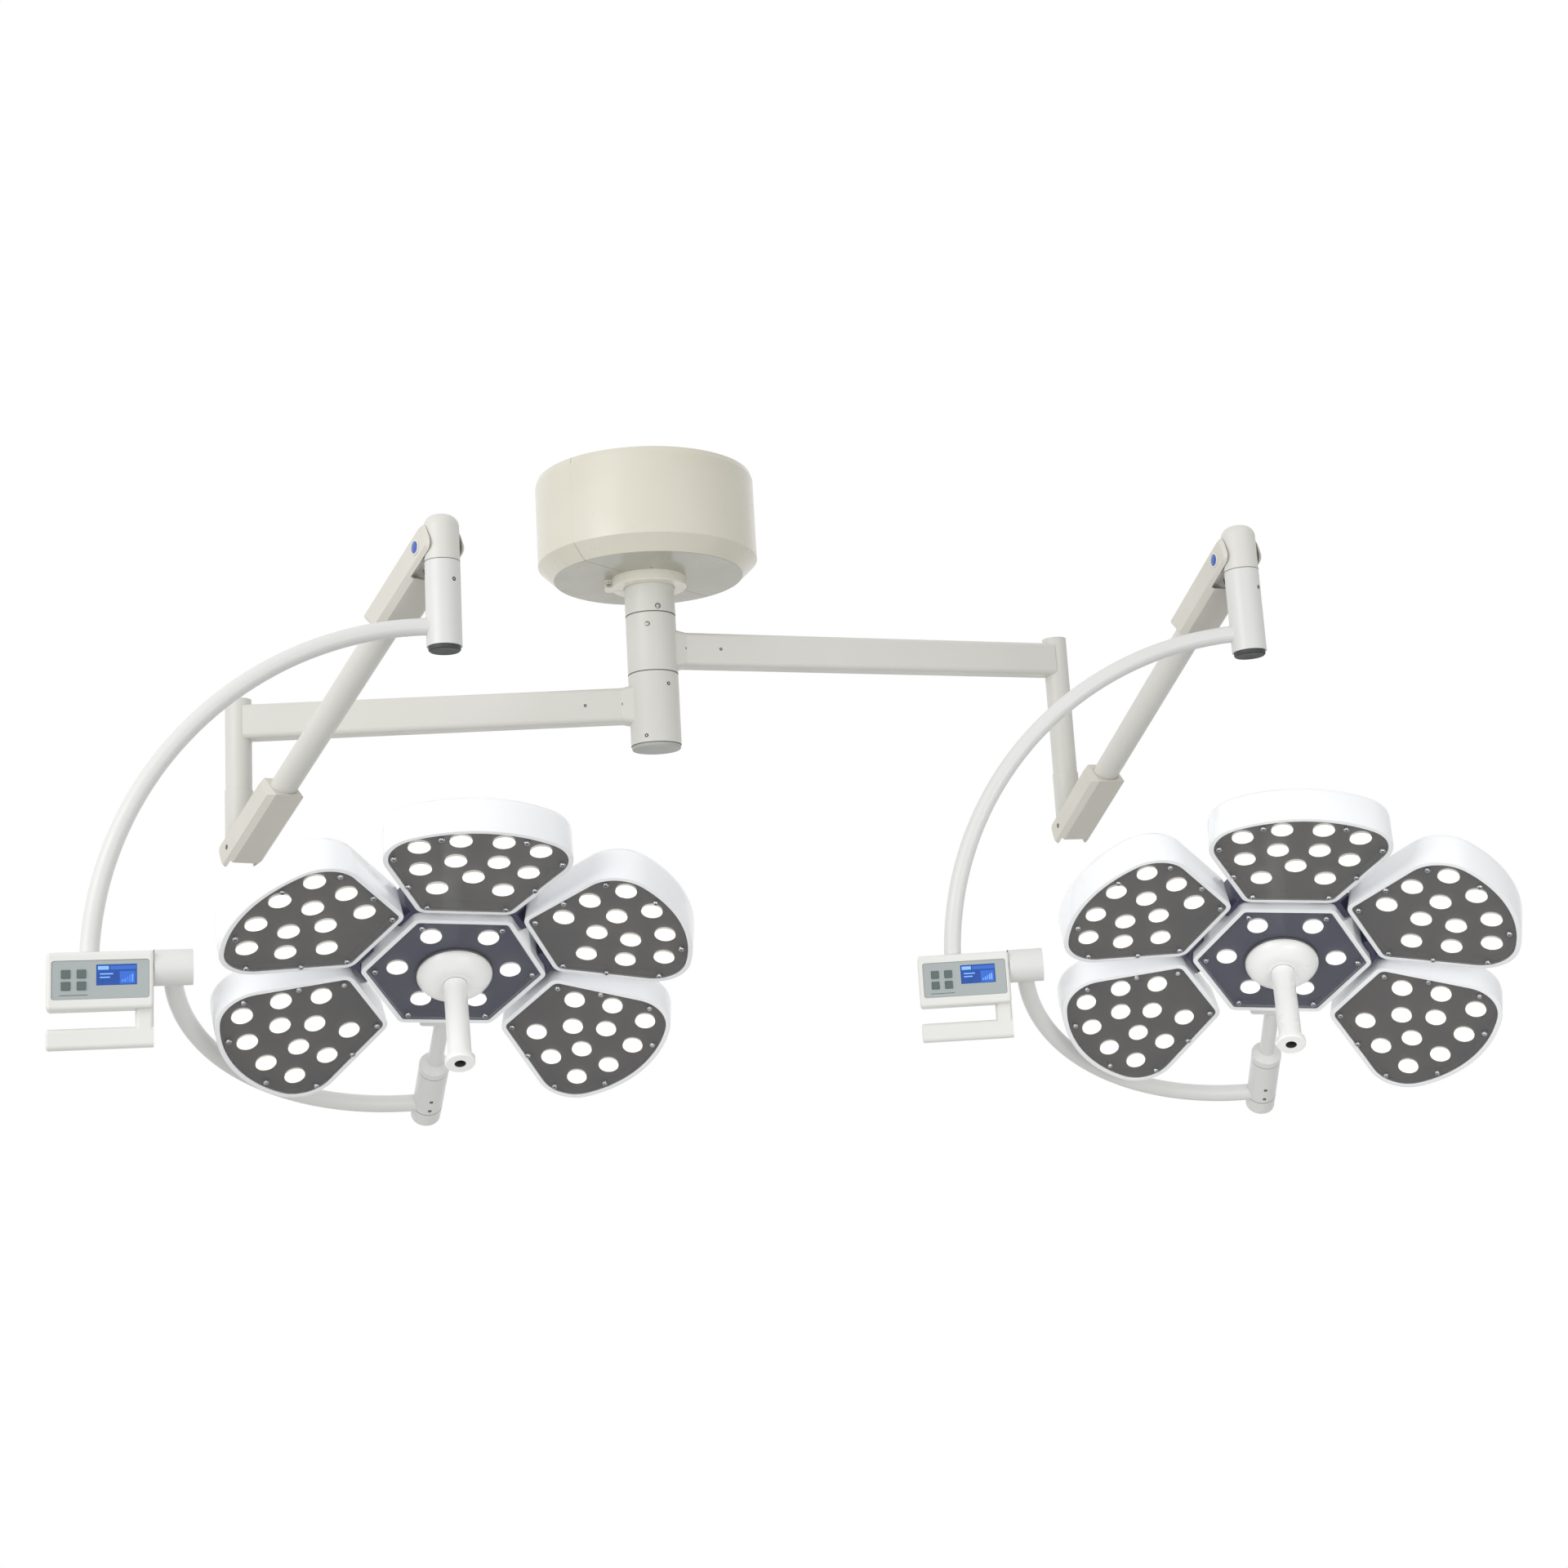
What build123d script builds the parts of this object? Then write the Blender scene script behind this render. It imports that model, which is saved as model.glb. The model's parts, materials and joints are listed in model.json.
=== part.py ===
from build123d import *
from math import asin, cos, degrees, radians, sin
import os

# Twin ceiling surgical light: one fixed column carries two like lamp units, each on an extension arm,
# a spring arm and a two-yoke gimbal. The origin is the centre of the ceiling face, +Z up.

os.makedirs("parts", exist_ok=True)

# ---- fits and clearances
RUNNING_FIT = 0.05  # radial clearance of a shaft in its bearing
FACE_GAP = 0.3  # gap between two faces that turn past each other
LOOSE_FIT = 0.3  # clearance of a part dropped into its recess

# ---- ceiling mount
PLATE_RADIUS, PLATE_THICKNESS = 165, 12
ANCHOR_CIRCLE, ANCHOR_COUNT, ANCHOR_HOLE_RADIUS = 290, 6, 7
COLUMN_RADIUS, COLUMN_BORE_RADIUS, JOURNAL_RADIUS = 45.5, 20, 30
COLUMN_FLANGE_RADIUS, COLUMN_FLANGE_THICKNESS = 90, 14
SCREW_CIRCLE_RADIUS, SCREW_COUNT, SCREW_RADIUS, SCREW_LENGTH = 68, 6, 5, 22
SCREW_HEAD_RADIUS, SCREW_HEAD_HEIGHT = 9, 6
CANOPY_RADIUS, CANOPY_WALL_BOTTOM, CANOPY_BOTTOM, CANOPY_BOTTOM_RADIUS = 200, 160, 187, 172
CANOPY_WALL, CANOPY_TOP_GAP, CANOPY_TOP_ROUND, CANOPY_SEAM_ANGLE, CANOPY_SEAM = 3, 3, 10, 54, 1
COLLAR_RADIUS, COLLAR_HEIGHT, COLLAR_EAR_LENGTH, COLLAR_EAR_WIDTH = 68, 18, 26, 24
END_CAP_RADIUS, END_CAP_THICKNESS = 44, 7

# ---- the two hubs on the column
HUB_TOP = 258
UPPER_HUB_HEIGHT, LOWER_HUB_HEIGHT = 109, 131
BEAM_HEIGHT, BEAM_WIDTH, BEAM_CORNER, BEAM_WALL = 62, 46, 9, 4
BEAM_FLARE, BEAM_FLARE_LENGTH = 5, 14
UPPER_BEAM_DROP, LOWER_BEAM_DROP = 63, 56  # from the hub's top to the beam's centre line
DROP_TUBE_RADIUS, DROP_TUBE_WALL, DROP_TUBE_RISE, DROP_TUBE_ROUND = 23, 4, 12, 3
KNUCKLE_SEAM_RISE = 36  # from the lower pivot up to the foot of the drop tube

# ---- spring arm
PIVOT_DEPTH = 650  # lower pivot below the ceiling
DROP_TUBE_BOTTOM = PIVOT_DEPTH - KNUCKLE_SEAM_RISE
PIVOT_OFFSET = 22  # from a vertical swivel axis to the pivot beside it
SPRING_ARM_LENGTH = 790  # pivot to pivot
SPRING_TUBE_RADIUS, SPRING_TUBE_WALL = 22, 3
BULKHEAD_START, BULKHEAD_LENGTH = 38, 22
LUG_RADIUS, LUG_THICKNESS, LUG_NECK, LUG_CLEARANCE = 19, 7, 30, 2
BARREL_RADIUS, BARREL_HALF_WIDTH, BARREL_NECK, PIN_RADIUS = 20, 16, 32, 6
ROD_RADIUS, ROD_DROP, ROD_EYE_RADIUS, ROD_EYE_HALF_WIDTH, ROD_PIN_RADIUS = 3, 15, 5, 4, 2.5
ROD_SLOT_HALF_WIDTH, ROD_SLOT_BACK, ROD_SLOT_FRONT, ROD_SLOT_HEIGHT, ROD_SLOT_DROP = 5, 7.5, 28, 50, 3
ROD_WINDOW_HEIGHT, ROD_CLEARANCE, OPEN_PIVOT_GAP = 13, 1, 0.3
SPRING_BODY_RADIUS, SPRING_BODY_LENGTH, SPRING_ROD_RADIUS, SPRING_RISE = 9, 380, 4, 7
COVER_HALF_WIDTH, COVER_HALF_HEIGHT, COVER_WALL, COVER_EDGE_ROUND = 45, 33, 3, 2
COVER_BACK, COVER_BACK_ROUND, COVER_OPEN_LENGTH, COVER_RAKE = 28, 18, 56, 30
LOWER_COVER_LENGTH, UPPER_COVER_LENGTH = 165, 190
PIVOT_CAP_RADIUS, PIVOT_CAP_HEIGHT, PIVOT_RING_RADIUS, PIVOT_RING_HEIGHT = 9, 3, 12, 1.5
KNUCKLE_RADIUS, KNUCKLE_DEPTH, KNUCKLE_ROUND = 24.5, 48, 16
SPIGOT_LENGTH = 70

# ---- lamp head, measured from the face of the centre window
FACE_HEIGHT = 25  # centre window's face above the gimbal's centre
PETAL_ANGLES = (30, 150, 210, 270, 330)
PETAL_TILT, PETAL_HINGE_RADIUS, PETAL_DROP = 11.5, 115, 2.7
PETAL_INNER, PETAL_SIDE, PETAL_SHOULDER, PETAL_OUTER = 137, 281, 312, 344
PETAL_INNER_HALF, PETAL_SIDE_HALF, PETAL_SHOULDER_HALF, PETAL_CORNER = 60, 128, 106, 12
LIP_WIDTH, WINDOW_THICKNESS, WINDOW_RECESS, WINDOW_LEDGE, WINDOW_CLEARANCE = 7, 3, 0.6, 2, 0.2
TRAY_DEPTH, PETAL_DEPTH, BACK_ROUND = 14, 58, 14
LENS_RADIUS, LENS_HEIGHT, LENS_SIDES = 13, 9, 10
LENS_ROWS = ((310, 28.3), (290.5, 80.6), (258, 28.8), (234, 72.6), (184.5, 45))
LENS_ALONE = 217.5
CENTRE_LENS_RADIUS, CENTRE_LENS_COUNT = 80.7, 6
HEX_RADIUS, HEX_CORNER, CENTRE_DEPTH = 125, 6, 60
CARRIER_RADIUS, CARRIER_THICKNESS = 118, 12
SPIDER_ARM_START, SPIDER_ARM_END, SPIDER_ARM_WIDTH, SPIDER_ARM_THICKNESS = 98, 250, 44, 8
RIB_ANGLES, RIB_INNER, RIB_OUTER, RIB_WIDTH, RIB_TOP = (0, 180, 240, 300), 137, 158, 9, 12
BRACKET_HALF_WIDTH, BRACKET_INNER, BRACKET_THICKNESS, BRACKET_TOP, BRACKET_CORNER = 35, 116, 16, 8, 5
BASE_RADIUS, BASE_RIM_HEIGHT, BASE_RIM_LEAN, BASE_TOP, BASE_TOP_RADIUS = 53.5, 6, 0.4, 20, 22
HANDLE_RADIUS, HANDLE_END, HANDLE_JOURNAL_RADIUS, HANDLE_JOURNAL_LENGTH = 16.5, 160, 10, 16
HANDLE_FLANGE_RADIUS, HANDLE_FLANGE_THICKNESS, HANDLE_ROUND = 21, 9, 2.5
HANDLE_SOCKET_RADIUS, HANDLE_SOCKET_DEPTH = 8, 20

# ---- gimbal, measured from its centre: each reach builds on the one inside it
HEAD_CLEARANCE = 9  # from the lamp head's rim to the side drum
DRUM_RADIUS, DRUM_LENGTH, SIDE_JOURNAL_RADIUS, SIDE_JOURNAL_LENGTH = 25, 52, 15, 36
DRUM_START = PETAL_OUTER + LIP_WIDTH + HEAD_CLEARANCE
LOWER_YOKE_SEAT, LOWER_YOKE_INSET = 27, 11  # of the lower yoke's end and of its bend, from the drum's start
LOWER_YOKE_START = DRUM_START + LOWER_YOKE_SEAT
LOWER_YOKE_RADIUS = DRUM_START - LOWER_YOKE_INSET
SOCKET_RADIUS, SOCKET_DEPTH, SOCKET_TAIL = 23, 87, 31
SOCKET_START = LOWER_YOKE_RADIUS - SOCKET_DEPTH
SOCKET_END = LOWER_YOKE_RADIUS + SOCKET_TAIL
HEAD_JOURNAL_RADIUS, HEAD_JOURNAL_LENGTH = 15, 62
HEAD_COLLAR_LENGTH, HEAD_STEM_RADIUS = 12, 10.5

# ---- control housing on the end of the upper yoke
HOUSING_START = DRUM_START + DRUM_LENGTH
HOUSING_LENGTH = 138
HOUSING_END = HOUSING_START + HOUSING_LENGTH
HOUSING_TOP, HOUSING_BOTTOM, HOUSING_HALF_DEPTH, HOUSING_ROUND = 22, 56, 28, 5
GRIP_TOP, GRIP_BOTTOM, GRIP_HALF_DEPTH, GRIP_POST_WIDTH, GRIP_ROUND = 80, 108, 16, 24, 6
YOKE_SOCKET_ANGLE = 4
PANEL_INNER_MARGIN, PANEL_OUTER_MARGIN, PANEL_TOP, PANEL_BOTTOM, PANEL_CORNER = 6, 7, 10, 42, 4
PANEL_START = HOUSING_START + PANEL_INNER_MARGIN
PANEL_END = HOUSING_END - PANEL_OUTER_MARGIN
PANEL_THICKNESS, PANEL_RECESS = 4, 1
DISPLAY_INSET, DISPLAY_RISE, DISPLAY_LENGTH, DISPLAY_HEIGHT, DISPLAY_THICKNESS = 42, -10, 52, 28, 2
DISPLAY_CENTRE = PANEL_START + DISPLAY_INSET
BUTTON_INSET, BUTTON_PITCH, BUTTON_ROWS, BUTTON_SIDE = 18, 20, (-8, -24), 11
BUTTON_COLUMNS = (PANEL_END - BUTTON_INSET, PANEL_END - BUTTON_INSET - BUTTON_PITCH)
BUTTON_PROUD, BUTTON_TRAVEL = 1.6, 1.2

# ---- upper yoke and its stem
YOKE_TUBE_RADIUS, YOKE_INSET = 13, 84  # the tube enters the housing that far from its inner end
UPPER_YOKE_RADIUS = HOUSING_START + YOKE_INSET
STEM_RADIUS, STEM_LENGTH, STEM_TAIL, SWIVEL_DROP = 26.5, 130, 31, 25
STEM_BOTTOM = UPPER_YOKE_RADIUS - STEM_TAIL
STEM_TOP = STEM_BOTTOM + STEM_LENGTH
PIVOT_HEIGHT = STEM_TOP + SWIVEL_DROP  # upper pivot above the gimbal's centre
STEM_JOURNAL_RADIUS, STEM_JOURNAL_LENGTH = 13, 40
STEM_PLUG_RADIUS, STEM_PLUG_THICKNESS, STEM_PLUG_CHAMFER = 24, 7, 2
HEAD_BLOCK_RISE, HEAD_BLOCK_ROUND = 48, 18

# ---- pose of the two lamp units, in degrees
UNITS = {
    "right": dict(
        arm_length=815, arm_angle=19.4, hub_top=HUB_TOP, hub_height=UPPER_HUB_HEIGHT,
        beam_drop=UPPER_BEAM_DROP, spring_angle=-75.5, spring_pitch=22.6,
        yoke_angle=177, yoke_pitch=36.6, head_turn=6,
    ),
    "left": dict(
        arm_length=741, arm_angle=183.9, hub_top=HUB_TOP + UPPER_HUB_HEIGHT, hub_height=LOWER_HUB_HEIGHT,
        beam_drop=LOWER_BEAM_DROP, spring_angle=-51.1, spring_pitch=26,
        yoke_angle=199, yoke_pitch=33.6, head_turn=3.5,
    ),
}
COLUMN_BOTTOM = HUB_TOP + UPPER_HUB_HEIGHT + LOWER_HUB_HEIGHT


# ---- planes: each joint carries a plane, and sketches lie on planes taken from it
def turned(origin, angle):
    """Upright plane at a point, its x axis at an angle about +Z."""
    return Plane(origin=origin, x_dir=(cos(radians(angle)), sin(radians(angle)), 0), z_dir=(0, 0, 1))


def at(plane, x=0.0, y=0.0, z=0.0):
    """The same directions at another point, given in the plane's own coordinates."""
    return Plane(origin=plane.from_local_coords(Vector(x, y, z)), x_dir=plane.x_dir, z_dir=plane.z_dir)


def side(plane, y=0.0):
    """Sketch plane seen from -y: its x is the plane's x and its y is the plane's z."""
    return Plane(origin=at(plane, y=y).origin, x_dir=plane.x_dir, z_dir=-plane.y_dir)


def end(plane, x=0.0):
    """Sketch plane that looks along x: its x is the plane's y and its y is the plane's z."""
    return Plane(origin=at(plane, x=x).origin, x_dir=plane.y_dir, z_dir=plane.x_dir)


def front(plane, y=0.0):
    """Sketch plane that looks along y: its x is the plane's z and its y is the plane's x."""
    return Plane(origin=at(plane, y=y).origin, x_dir=plane.z_dir, z_dir=plane.y_dir)


def tipped(plane, angle):
    """The plane turned about its own y axis, so that its x axis rises towards its z axis."""
    c, k = cos(radians(angle)), sin(radians(angle))
    x_dir = plane.x_dir * c + plane.z_dir * k
    return Plane(origin=plane.origin, x_dir=x_dir, z_dir=plane.z_dir * c - plane.x_dir * k)


def hung(plane, angle):
    """The plane turned over about its own x axis: its z axis points down and leans forward by an angle."""
    c, k = cos(radians(angle)), sin(radians(angle))
    return Plane(origin=plane.origin, x_dir=plane.x_dir, z_dir=plane.y_dir * k - plane.z_dir * c)


def spun(plane, angle):
    """The plane turned about its own z axis."""
    c, k = cos(radians(angle)), sin(radians(angle))
    return Plane(origin=plane.origin, x_dir=plane.x_dir * c + plane.y_dir * k, z_dir=plane.z_dir)


def write(piece, name):
    piece.part.label = name
    export_step(piece.part, f"parts/{name}.step")


# ---- ceiling mount
def make_ceiling_flange():
    with BuildPart() as plate:
        with BuildSketch(Plane.XY.offset(-PLATE_THICKNESS)):
            Circle(PLATE_RADIUS)
            with PolarLocations(ANCHOR_CIRCLE / 2, ANCHOR_COUNT):
                Circle(ANCHOR_HOLE_RADIUS, mode=Mode.SUBTRACT)
        extrude(amount=PLATE_THICKNESS)
        with BuildSketch(Plane.XY.offset(-PLATE_THICKNESS)):
            with PolarLocations(SCREW_CIRCLE_RADIUS, SCREW_COUNT):
                Circle(SCREW_RADIUS)
        extrude(amount=SCREW_LENGTH - COLUMN_FLANGE_THICKNESS, mode=Mode.SUBTRACT)
    write(plate, "ceiling_flange")


def make_fixed_column():
    top = -PLATE_THICKNESS
    flange_bottom = top - COLUMN_FLANGE_THICKNESS
    with BuildPart() as column:
        with BuildSketch(Plane.XY.offset(flange_bottom)):
            Circle(COLUMN_FLANGE_RADIUS)
            with PolarLocations(SCREW_CIRCLE_RADIUS, SCREW_COUNT):
                Circle(SCREW_RADIUS + LOOSE_FIT, mode=Mode.SUBTRACT)
        extrude(amount=COLUMN_FLANGE_THICKNESS)
        with BuildSketch(Plane.XY.offset(-HUB_TOP)):
            Circle(COLUMN_RADIUS)
        extrude(amount=HUB_TOP + flange_bottom)
        with BuildSketch(Plane.XY.offset(-COLUMN_BOTTOM - FACE_GAP)):
            Circle(JOURNAL_RADIUS)
        extrude(amount=COLUMN_BOTTOM + FACE_GAP - HUB_TOP)
        with BuildSketch(Plane.XY.offset(-COLUMN_BOTTOM - FACE_GAP)):
            Circle(COLUMN_BORE_RADIUS)
        extrude(amount=COLUMN_BOTTOM + FACE_GAP + top, mode=Mode.SUBTRACT)
    write(column, "fixed_column")


def make_column_screws():
    head_top = -PLATE_THICKNESS - COLUMN_FLANGE_THICKNESS
    with BuildPart() as screws:
        with BuildSketch(Plane.XY.offset(head_top - SCREW_HEAD_HEIGHT)):
            with PolarLocations(SCREW_CIRCLE_RADIUS, SCREW_COUNT):
                RegularPolygon(SCREW_HEAD_RADIUS, 6)
        extrude(amount=SCREW_HEAD_HEIGHT)
        with BuildSketch(Plane.XY.offset(head_top)):
            with PolarLocations(SCREW_CIRCLE_RADIUS, SCREW_COUNT):
                Circle(SCREW_RADIUS - RUNNING_FIT)
        extrude(amount=SCREW_LENGTH)
    write(screws, "column_screws")


def make_canopy_shell():
    inner_bottom_radius = CANOPY_BOTTOM_RADIUS - CANOPY_WALL
    with BuildPart() as shell:
        with BuildSketch(Plane.XZ):
            with BuildLine():
                Polyline(
                    (COLUMN_RADIUS + FACE_GAP, -CANOPY_BOTTOM),
                    (CANOPY_BOTTOM_RADIUS, -CANOPY_BOTTOM),
                    (CANOPY_RADIUS, -CANOPY_WALL_BOTTOM),
                    (CANOPY_RADIUS, -CANOPY_TOP_GAP - CANOPY_TOP_ROUND),
                    (CANOPY_RADIUS - CANOPY_WALL, -CANOPY_TOP_GAP),
                    (CANOPY_RADIUS - 2 * CANOPY_WALL, -CANOPY_TOP_GAP),
                    (CANOPY_RADIUS - CANOPY_WALL, -CANOPY_TOP_GAP - CANOPY_TOP_ROUND),
                    (CANOPY_RADIUS - CANOPY_WALL, -CANOPY_WALL_BOTTOM + CANOPY_WALL / 2),
                    (inner_bottom_radius, -CANOPY_BOTTOM + CANOPY_WALL),
                    (COLUMN_RADIUS + FACE_GAP, -CANOPY_BOTTOM + CANOPY_WALL),
                    close=True,
                )
            make_face()
        revolve(axis=Axis.Z)
        with BuildSketch(turned((0, 0, -CANOPY_BOTTOM), CANOPY_SEAM_ANGLE)):
            Rectangle(2 * CANOPY_RADIUS + CANOPY_WALL, CANOPY_SEAM)
        extrude(amount=CANOPY_BOTTOM, mode=Mode.SUBTRACT)
    write(shell, "canopy_shell")


def make_canopy_collar():
    with BuildPart() as collar:
        with BuildSketch(Plane.XY.offset(-CANOPY_BOTTOM - COLLAR_HEIGHT)):
            Circle(COLLAR_RADIUS)
            with Locations((-COLLAR_RADIUS, 0)):
                RectangleRounded(COLLAR_EAR_LENGTH, COLLAR_EAR_WIDTH, COLLAR_EAR_WIDTH / 3)
            Circle(COLUMN_RADIUS + RUNNING_FIT, mode=Mode.SUBTRACT)
            with Locations((-COLLAR_RADIUS, 0)):
                Rectangle(2 * COLLAR_EAR_LENGTH + COLUMN_RADIUS, CANOPY_SEAM, mode=Mode.SUBTRACT)
        extrude(amount=COLLAR_HEIGHT)
        rim = collar.faces().sort_by(Axis.Z)[0].outer_wire().edges()
        chamfer(rim, CANOPY_WALL / 2)
    write(collar, "canopy_collar")


def make_column_end_cap():
    with BuildPart() as cap:
        with BuildSketch(Plane.XY.offset(-COLUMN_BOTTOM - FACE_GAP - END_CAP_THICKNESS)):
            Circle(END_CAP_RADIUS)
        extrude(amount=END_CAP_THICKNESS)
        fillet(cap.edges().sort_by(Axis.Z)[0], END_CAP_THICKNESS / 3)
    write(cap, "column_end_cap")


# ---- arms
def make_extension_arm(name, unit, hub, drop):
    beam_z = -unit["hub_top"] - unit["beam_drop"]
    beam_end = unit["arm_length"] - DROP_TUBE_RADIUS / 2
    hub_bottom = -unit["hub_top"] - unit["hub_height"]
    drop_top = beam_z + BEAM_HEIGHT / 2 + DROP_TUBE_RISE
    beam = at(hub, z=beam_z)
    with BuildPart() as arm:
        with BuildSketch(at(hub, z=hub_bottom + FACE_GAP)):
            Circle(COLUMN_RADIUS)
        extrude(amount=unit["hub_height"] - FACE_GAP)
        with BuildSketch(end(beam, COLUMN_RADIUS / 2)):
            RectangleRounded(BEAM_WIDTH, BEAM_HEIGHT, BEAM_CORNER)
        extrude(amount=beam_end - COLUMN_RADIUS / 2)
        with BuildSketch(end(beam, COLUMN_RADIUS - BEAM_FLARE_LENGTH)):
            RectangleRounded(BEAM_WIDTH + 2 * BEAM_FLARE, BEAM_HEIGHT + 2 * BEAM_FLARE, BEAM_CORNER)
        with BuildSketch(end(beam, COLUMN_RADIUS + BEAM_FLARE_LENGTH)):
            RectangleRounded(BEAM_WIDTH, BEAM_HEIGHT, BEAM_CORNER)
        loft()
        with BuildSketch(end(beam, COLUMN_RADIUS + BEAM_FLARE_LENGTH)):
            RectangleRounded(
                BEAM_WIDTH - 2 * BEAM_WALL, BEAM_HEIGHT - 2 * BEAM_WALL, BEAM_CORNER - BEAM_WALL
            )
        extrude(amount=beam_end - COLUMN_RADIUS - BEAM_FLARE_LENGTH - DROP_TUBE_RADIUS, mode=Mode.SUBTRACT)
        with BuildSketch(at(drop, z=-DROP_TUBE_BOTTOM)):
            Circle(DROP_TUBE_RADIUS)
        extrude(amount=DROP_TUBE_BOTTOM + drop_top)
        fillet(arm.edges().filter_by(GeomType.CIRCLE).sort_by(Axis.Z)[-1], DROP_TUBE_ROUND)
        with BuildSketch(at(drop, z=-DROP_TUBE_BOTTOM)):
            Circle(DROP_TUBE_RADIUS - DROP_TUBE_WALL)
        extrude(amount=DROP_TUBE_BOTTOM + drop_top - BEAM_HEIGHT - 2 * DROP_TUBE_RISE, mode=Mode.SUBTRACT)
        with BuildSketch(at(hub, z=hub_bottom)):
            Circle(JOURNAL_RADIUS + RUNNING_FIT)
        extrude(amount=unit["hub_height"], mode=Mode.SUBTRACT)
    write(arm, f"{name}_extension_arm")


def pivot_cutouts(pivot, back):
    """What a pivot removes from the body that carries it: room for the lugs and the tie rod's slot.

    back is the side of the body's own axis: -1 where it lies at -x of the pivot, +1 at +x.
    """
    with BuildPart() as cutouts:
        for y in (BARREL_HALF_WIDTH + FACE_GAP + 2 * LUG_THICKNESS, -BARREL_HALF_WIDTH):
            with BuildSketch(side(pivot, y)):
                Circle(LUG_RADIUS + LUG_CLEARANCE)
            extrude(amount=2 * LUG_THICKNESS + FACE_GAP)
        with BuildSketch(side(pivot, ROD_SLOT_HALF_WIDTH)):
            with Locations((-back * (ROD_SLOT_FRONT - ROD_SLOT_BACK) / 2, -ROD_SLOT_DROP)):
                Rectangle(ROD_SLOT_FRONT + ROD_SLOT_BACK, ROD_SLOT_HEIGHT)
        extrude(amount=2 * ROD_SLOT_HALF_WIDTH)
    return cutouts.part


def pivot_barrel(pivot, back):
    """The pivot itself: a slotted barrel with its neck, the main pin and the tie rod's pin."""
    with BuildPart() as barrel:
        with BuildSketch(side(pivot, BARREL_HALF_WIDTH)):
            Circle(BARREL_RADIUS)
            with Locations((back * PIVOT_OFFSET / 2, 0)):
                Rectangle(PIVOT_OFFSET, BARREL_NECK)
        extrude(amount=2 * BARREL_HALF_WIDTH)
        add(pivot_cutouts(pivot, back), mode=Mode.SUBTRACT)
        with BuildSketch(side(pivot, BARREL_HALF_WIDTH + LUG_THICKNESS)):
            Circle(PIN_RADIUS)
        extrude(amount=2 * (BARREL_HALF_WIDTH + LUG_THICKNESS))
        with BuildSketch(side(at(pivot, z=-ROD_DROP), BARREL_HALF_WIDTH)):
            Circle(ROD_PIN_RADIUS)
        extrude(amount=2 * BARREL_HALF_WIDTH)
    return barrel.part


def make_knuckle(name, drop, pivot):
    axis = at(drop, z=-PIVOT_DEPTH)
    seam = KNUCKLE_SEAM_RISE - FACE_GAP
    with BuildPart() as knuckle:
        with BuildSketch(at(axis, z=-KNUCKLE_DEPTH)):
            Circle(KNUCKLE_RADIUS)
        extrude(amount=KNUCKLE_DEPTH + seam)
        fillet(knuckle.edges().sort_by(Axis.Z)[0], KNUCKLE_ROUND)
        add(pivot_cutouts(pivot, -1), mode=Mode.SUBTRACT)
        add(pivot_barrel(pivot, -1))
        with BuildSketch(at(axis, z=seam)):
            Circle(DROP_TUBE_RADIUS - DROP_TUBE_WALL - RUNNING_FIT)
        extrude(amount=SPIGOT_LENGTH)
    write(knuckle, f"{name}_knuckle")


def make_spring_arm_tube(name, lower):
    inner = SPRING_TUBE_RADIUS - SPRING_TUBE_WALL
    run = SPRING_ARM_LENGTH - 2 * BULKHEAD_START
    window_bottom = inner - ROD_CLEARANCE / 2
    with BuildPart() as tube:
        with BuildSketch(end(lower, BULKHEAD_START)):
            Circle(SPRING_TUBE_RADIUS)
        extrude(amount=run)
        with BuildSketch(end(lower, BULKHEAD_START + BULKHEAD_LENGTH)):
            Circle(inner)
        extrude(amount=run - 2 * BULKHEAD_LENGTH, mode=Mode.SUBTRACT)
        for start in (BULKHEAD_START, SPRING_ARM_LENGTH - BULKHEAD_START - BULKHEAD_LENGTH):
            with BuildSketch(end(lower, start)):
                with Locations((0, ROD_WINDOW_HEIGHT / 2 - window_bottom)):
                    RectangleRounded(2 * ROD_RADIUS + 2 * ROD_CLEARANCE, ROD_WINDOW_HEIGHT, ROD_RADIUS)
            extrude(amount=BULKHEAD_LENGTH, mode=Mode.SUBTRACT)
        for x, turn in ((0, 1), (SPRING_ARM_LENGTH, -1)):
            reach = BULKHEAD_START + BULKHEAD_LENGTH / 2
            for y in (BARREL_HALF_WIDTH + FACE_GAP + LUG_THICKNESS, -BARREL_HALF_WIDTH - FACE_GAP):
                with BuildSketch(side(at(lower, x=x), y)):
                    Circle(LUG_RADIUS)
                    with Locations((turn * reach / 2, 0)):
                        Rectangle(reach, LUG_NECK)
                    Circle(PIN_RADIUS + RUNNING_FIT, mode=Mode.SUBTRACT)
                extrude(amount=LUG_THICKNESS)
    write(tube, f"{name}_spring_arm_tube")


def cover_outline(length):
    """Side outline of a pivot cover: rounded behind the pivot, straight along the arm, raked at its lip."""
    with BuildSketch() as outline:
        with BuildLine():
            Polyline(
                (-COVER_BACK, COVER_HALF_HEIGHT),
                (-COVER_BACK, -COVER_HALF_HEIGHT),
                (length, -COVER_HALF_HEIGHT),
                (length - COVER_RAKE, COVER_HALF_HEIGHT),
                close=True,
            )
        make_face()
        fillet(outline.vertices().sort_by(Axis.X)[:2], COVER_BACK_ROUND)
    return outline.sketch


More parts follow.
